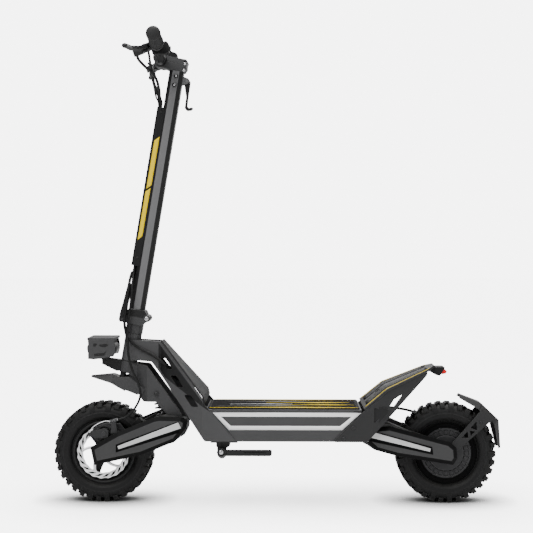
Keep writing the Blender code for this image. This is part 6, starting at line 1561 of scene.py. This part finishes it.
# Deck and tail
@dataclass
class Deck(Assembly):
    """Frames on the deck's sides, its ribbed mat with generic stripes, and its screws."""

    half: float = 101.0
    ribs: int = 30
    margin: float = 0.008
    lid_screws: int = 6

    def side_frames(self) -> None:
        """White four-sided frames: the band between an outer and an inner outline on each side."""
        outer = np.array([(-167.5, 248.0), (219.0, 248.0), (169.0, 202.8), (-125.5, 202.8)])
        inner = np.array([(-146.0, 237.5), (193.5, 237.5), (164.0, 213.3), (-120.5, 213.3)])
        share = np.array([0.0, 1.0])[:, None, None]
        ring = (1 - share) * outer[None] + share * inner[None]
        for side in SIDES:
            level = np.full(ring.shape[:2], side * (self.half + 0.2))
            points = np.stack([ring[..., 0], level, ring[..., 1]], -1) * MM
            piece = make_piece(f"deck_frame_{side_name(side)}", points, [grid_faces(2, 4, wrap_cols=True)])
            self.place(thicken(piece, depth=0.0003), Look.WHITE_FILM, Body.FRAME)

    def mat(self) -> None:
        """Ribs along the mat, a five-pointed arch carried from end to end, with a generic print on them."""
        low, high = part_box("deck_mat")
        top = high[2]
        place = np.linspace(low[1] + 0.012, high[1] - 0.012, self.ribs)
        arch = np.array([[-1.0, 0.0], [-0.7, 0.7], [0.0, 1.0], [0.7, 0.7], [1.0, 0.0]]) * [0.0014, 0.0006]
        ends = np.array([low[0] + self.margin, high[0] - self.margin])
        x = ends[None, :, None] + 0 * place[:, None, None] + 0 * arch[None, None, :, 0]
        y = place[:, None, None] + arch[None, None, :, 0] + 0 * x
        z = top - 0.0001 + arch[None, None, :, 1] + 0 * x
        faces = copied_faces(closed_rings(2, len(arch)), self.ribs, 2 * len(arch))
        self.place(make_piece("mat_ribs", np.stack([x, y, z], -1), faces), Look.MAT_RUBBER, Body.FRAME)
        self.stripes(low, high, top)

    def stripes(self, low: Vector, high: Vector, top: float) -> None:
        """Generic print on the mat: lengthwise streaks in yellow, grey and white that swell and taper.

        Args:
            low: lowest corner of the mat.
            high: highest corner of the mat.
            top: height of the mat's face.
        """
        streaks = (("edge_left", -82.0, (0.01, 0.99), 1.8, 5.5, Look.YELLOW_FILM),
                   ("edge_right", 82.0, (0.01, 0.99), 1.8, 5.5, Look.YELLOW_FILM),
                   ("mid_left", -50.0, (0.06, 0.66), 0.6, 5.0, Look.GREY_FILM),
                   ("mid_right", 46.0, (0.10, 0.70), 0.6, 6.0, Look.GREY_FILM),
                   ("line", -14.0, (0.14, 0.56), 0.8, 1.6, Look.WHITE_FILM),
                   ("tail_left", -30.0, (0.45, 0.97), 0.6, 5.0, Look.YELLOW_FILM),
                   ("tail_right", 22.0, (0.38, 0.95), 0.6, 6.5, Look.YELLOW_FILM))
        count = 40
        share = np.linspace(0.0, 1.0, count)
        for name, side, ends, thin, swell, look in streaks:
            x = low[0] + (ends[0] + (ends[1] - ends[0]) * share) * (high[0] - low[0])
            half = thin + swell * np.sin(np.pi * share ** 1.6) ** 2
            bend = side + 5.0 * np.sin(np.pi * share) * np.sign(-side)
            y = (bend[:, None] + half[:, None] * np.array([-1.0, 1.0])) * MM
            points = np.stack([x[:, None] + 0 * y, y, top + 0.00055 + 0 * y], -1)
            piece = make_piece(f"mat_streak_{name}", points, [grid_faces(count, 2)])
            self.place(thicken(piece, depth=0.0004), look, Body.FRAME)

    def screws(self) -> None:
        """Rows of small screws along the lid, and the bolts of the tail's side plates."""
        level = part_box("deck_lid")[1][2]
        places = [(x, side * 0.0965, level) for side in SIDES for x in np.linspace(-0.165, 0.205,
                                                                                   self.lid_screws)]
        self.place(bolts("deck_screws", places, [(0, 0, 1)] * len(places), radius=0.0030), Look.BLACK_COAT,
                   Body.FRAME)
        spots = np.array([(197.8, 210.0), (173.3, 181.6)]) * MM
        self.place(side_bolts("plate_bolts", spots, 0.1053, radius=0.0050), Look.DARK_STEEL, Body.FRAME)


@dataclass
class Tail(Assembly):
    """Ribbed mat with plain borders on the kicked-up tail, its panels, and the stand's plate and bolt."""

    def line(self, share: Array) -> Array:
        """Places (x, z) in millimetres along the tail plate's top line, at shares of its length.

        Args:
            share: shares of the line's length.

        Returns:
            Rows of x and z.
        """
        knots = np.array([(233.0, 258.5), (294.0, 309.0), (404.0, 356.5), (424.0, 365.0)])
        run = np.concatenate([[0.0], np.cumsum(np.linalg.norm(np.diff(knots, axis=0), axis=1))])
        spot = share * run[-1]
        return np.stack([np.interp(spot, run, knots[:, 0]), np.interp(spot, run, knots[:, 1])], -1)

    def half(self, share: Array) -> Array:
        """Half width in millimetres of the mat at shares of the tail's length."""
        x = self.line(share)[:, 0]
        return np.interp(x, [233.0, 294.0, 404.0, 424.0], [92.0, 88.0, 56.0, 24.0])

    def band(self, name: str, ends: tuple, edges: tuple, height: float, look: Look, count: int = 30) -> None:
        """A band on the tail between two shares of its half width.

        Args:
            name: its name.
            ends: shares of the tail's length where it starts and stops.
            edges: its edges as shares of the half width.
            height: height over the plate in millimetres.
            look: its finish.
            count: places along it.
        """
        share = np.linspace(ends[0], ends[1], count)
        spot = self.line(share)
        slope = unit(np.gradient(spot, axis=0))
        across = np.array(edges)[None, :] * self.half(share)[:, None]
        x = (spot[:, 0] - slope[:, 1] * height)[:, None] + 0 * across
        z = (spot[:, 1] + slope[:, 0] * height)[:, None] + 0 * across
        points = at(*np.stack([x, across, z], -1).reshape(-1, 3))
        piece = make_piece(name, points, [grid_faces(count, 2)])
        self.place(thicken(piece, depth=0.0005), look, Body.FRAME)

    def mat(self) -> None:
        """Ribbed halves with yellow borders and thin grey lines, left open round the hook's slot."""
        for side in SIDES:
            name = side_name(side)
            self.band(f"tail_border_{name}", (0.03, 0.93), (side * 0.99, side * 0.93), 0.4, Look.YELLOW_FILM)
            self.band(f"tail_line_{name}", (0.06, 0.88), (side * 0.86, side * 0.82), 0.4, Look.GREY_FILM)
            self.band(f"tail_ribs_{name}", (0.05, 0.90), (side * 0.78, side * 0.20), 0.4, Look.MAT_RUBBER)
            for index, share in enumerate((0.30, 0.42, 0.54, 0.66)):
                edges = (side * (share + 0.02), side * (share - 0.02))
                self.band(f"tail_rib_{name}_{index}", (0.08, 0.87), edges, 0.9, Look.GREY_FILM)

    def stand(self) -> None:
        """Panels behind the tail plates' lower windows, dark as painted shade of the recess, and the folding
        stand's bolt and plate.
        """
        # The panels take a darker finish: painted shade of the window recess.
        panel = np.array([(244, 272), (290, 256), (288, 246), (252, 206), (244, 210)]) * MM
        for side in SIDES:
            piece = slab(f"tail_panel_shade_{side_name(side)}", panel, near=side * 0.0975, far=side * 0.1005)
            self.place(bevel(piece, width=0.0005), Look.BLACK_COAT, Body.FRAME)
        axis = unit(np.array([0.0, -0.953938, 0.29998]))
        spot = at((-138.0, -70.0, 135.0))[0] + 0.0290 * axis
        self.place(bolts("stand_bolt", [spot], [axis], radius=0.0062), Look.BRIGHT_STEEL, Body.FRAME)
        plate = np.array([(-160, 166), (-122, 166), (-124, 157), (-134, 150), (-156, 150), (-160, 157)]) * MM
        piece = bevel(slab("stand_plate", plate, near=-0.078, far=-0.056), width=0.0010)
        self.place(piece, Look.BLACK_COAT, Body.FRAME)


# Studio
@dataclass
class Studio:
    """Pale floor, soft lights and the camera at the photograph's angle."""

    span: float = 1.4268
    distance: float = 3.2
    eye: tuple = (0.0205, 0.689)
    aim: tuple = (-0.029, 0.626)
    sensor: float = 36.0
    surround: float = 0.26
    backdrop: float = 6.2
    floor_lift: float = 6.0
    shades: tuple = ((0.30, 1.3), (0.11, 3.2))
    lights: tuple = (("key", (-1.6, -2.6, 3.2), 150.0, 2.2), ("fill", (2.4, -2.2, 1.8), 45.0, 2.6),
                     ("top", (0.0, 0.2, 3.6), 150.0, 2.4), ("back", (0.5, 3.0, 2.2), 55.0, 2.8))

    def floor(self) -> None:
        """A plain pale floor that darkens near what stands on it, by two reaches of ambient occlusion."""
        bpy.ops.mesh.primitive_plane_add(size=40.0, location=(0.0, 0.0, 0.0))
        plane = bpy.context.object
        plane.name = "studio_floor"
        material = bpy.data.materials.new("floor_white")
        material.use_nodes = True
        net = Net(material.node_tree)
        shader = material.node_tree.nodes["Principled BSDF"]
        seen = net.add("ShaderNodeLightPath").outputs["Is Camera Ray"]
        lift = net.maths("MULTIPLY", seen, self.floor_lift)
        for reach, power in self.shades:
            open_sky = net.add("ShaderNodeAmbientOcclusion", {"Distance": reach}, samples=8).outputs["AO"]
            lift = net.maths("MULTIPLY", lift, net.maths("POWER", open_sky, power))
        net.feed(shader.inputs["Base Color"], net.mix(seen, (0.92, 0.92, 0.92, 1.0), (0.10, 0.10, 0.10, 1.0)))
        net.feed(shader.inputs["Roughness"], 0.9)
        net.feed(shader.inputs["Specular IOR Level"], 0.0)
        net.feed(shader.inputs["Emission Color"], (1.0, 1.0, 1.0, 1.0))
        net.feed(shader.inputs["Emission Strength"], lift)
        plane.data.materials.append(material)

    def light(self) -> None:
        """Large soft area lights and a bright even surround."""
        for name, place, power, size in self.lights:
            lamp = bpy.data.lights.new(name, "AREA")
            lamp.energy = power
            lamp.size = size
            holder = bpy.data.objects.new(name, lamp)
            holder.location = place
            aim = Vector((0.0, 0.0, 0.5)) - Vector(place)
            holder.rotation_euler = aim.to_track_quat("-Z", "Y").to_euler()
            bpy.context.scene.collection.objects.link(holder)
        world = bpy.data.worlds.new("soft_surround")
        world.use_nodes = True
        net = Net(world.node_tree)
        sky = world.node_tree.nodes["Background"]
        sky.inputs["Color"].default_value = (1.0, 1.0, 1.0, 1.0)
        seen = net.add("ShaderNodeLightPath").outputs["Is Camera Ray"]
        values = {"Value": seen, "To Min": self.surround, "To Max": self.backdrop}
        net.feed(sky.inputs["Strength"], net.add("ShaderNodeMapRange", values).outputs[0])
        bpy.context.scene.world = world

    def camera(self) -> None:
        """Camera in front of the scooter's left side."""
        lens = bpy.data.cameras.new("camera")
        lens.sensor_width = self.sensor
        lens.lens = self.sensor * self.distance / self.span
        holder = bpy.data.objects.new("camera", lens)
        holder.location = (self.eye[0], -self.distance, self.eye[1])
        aim = Vector((self.aim[0], 0.0, self.aim[1])) - holder.location
        holder.rotation_euler = aim.to_track_quat("-Z", "Y").to_euler()
        bpy.context.scene.collection.objects.link(holder)
        bpy.context.scene.camera = holder


# Finish of each solid
PAINTED = {
    Look.FRAME_PAINT: ("tail_plate_left", "tail_plate_right", "tail_footplate", "rear_fender"),
    Look.DECK_PAINT: ("deck_shell", "deck_lid"),
    Look.NECK_PAINT: ("neck_frame",),
    Look.FORK_PAINT: ("fork", "fold_base", "front_fender"),
    Look.STEM_PAINT: ("stem_tube",),
    Look.HEAD_PAINT: ("stem_head", "clamp_cap"),
    Look.ARM_PAINT: ("front_arm_left", "front_arm_right", "rear_arm_left", "rear_arm_right"),
    Look.BLACK_COAT: ("handlebar", "brake_perch_left", "brake_perch_right", "brake_lever_left",
                      "brake_lever_right", "latch_lever", "kickstand_leg", "kickstand_bracket",
                      "headlamp_bracket", "front_rim", "rear_hub_motor", "fold_hook", "front_shock_upper"),
    Look.BLACK_PLASTIC: ("neck_cover", "stem_cover", "headlamp_housing", "display_pod", "switch_pod",
                         "throttle_paddle", "tail_lamp_housing"),
    Look.BRIGHT_STEEL: ("front_axle", "rear_axle", "front_pivot_shaft", "rear_pivot_shaft",
                        "headset_cartridge", "front_shock_lower"),
    Look.CAST_GREY: ("brake_caliper", "motor_controller", "caliper_lever"),
    Look.DISC_STEEL: ("brake_rotor",),
    Look.TYRE_RUBBER: ("front_tyre", "rear_tyre"),
    Look.GRIP_RUBBER: ("grip_left", "grip_right"),
    Look.CORD_RUBBER: ("brake_cable", "harness", "motor_cable"),
    Look.MAT_RUBBER: ("deck_mat",),
    Look.SPRING_COAT: ("front_spring",),
    Look.RED_LENS: ("tail_lamp_lens",),
    Look.CLEAR_LENS: ("headlamp_lens",),
    Look.PACK_WRAP: ("battery_pack",),
    Look.SWITCH_CAP: ("horn_button",),
}


def main() -> None:
    """Build every sub-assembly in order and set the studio."""
    logging.basicConfig(level=logging.INFO, format="%(name)s %(message)s")
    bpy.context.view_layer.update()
    finishes = Finishes()
    for look, nodes in PAINTED.items():
        finishes.repaint(nodes, look)
    front = FrontWheel(finishes)
    front.tyre()
    front.rim()
    front.disc()
    rear = RearWheel(finishes, "rear", HALF_BASE, Body.REAR_WHEEL)
    rear.tyre()
    rear.motor()
    arms = Arms(finishes)
    arms.fairings()
    arms.strips()
    arms.spring()
    arms.brake()
    cords = Cords(finishes)
    cords.brake_line()
    cords.main_loom()
    cords.bar_leads()
    cords.motor_line()
    cockpit = Cockpit(finishes)
    cockpit.bar()
    cockpit.grips()
    cockpit.fittings()
    stem = Stem(finishes)
    stem.stripes()
    stem.screws()
    stem.fold()
    stem.fenders()
    lamp = Headlamp(finishes)
    lamp.shell()
    lamp.back()
    deck = Deck(finishes)
    deck.side_frames()
    deck.mat()
    deck.screws()
    tail = Tail(finishes)
    tail.mat()
    tail.stand()
    studio = Studio()
    studio.floor()
    studio.light()
    studio.camera()


if __name__ == "__main__":
    main()
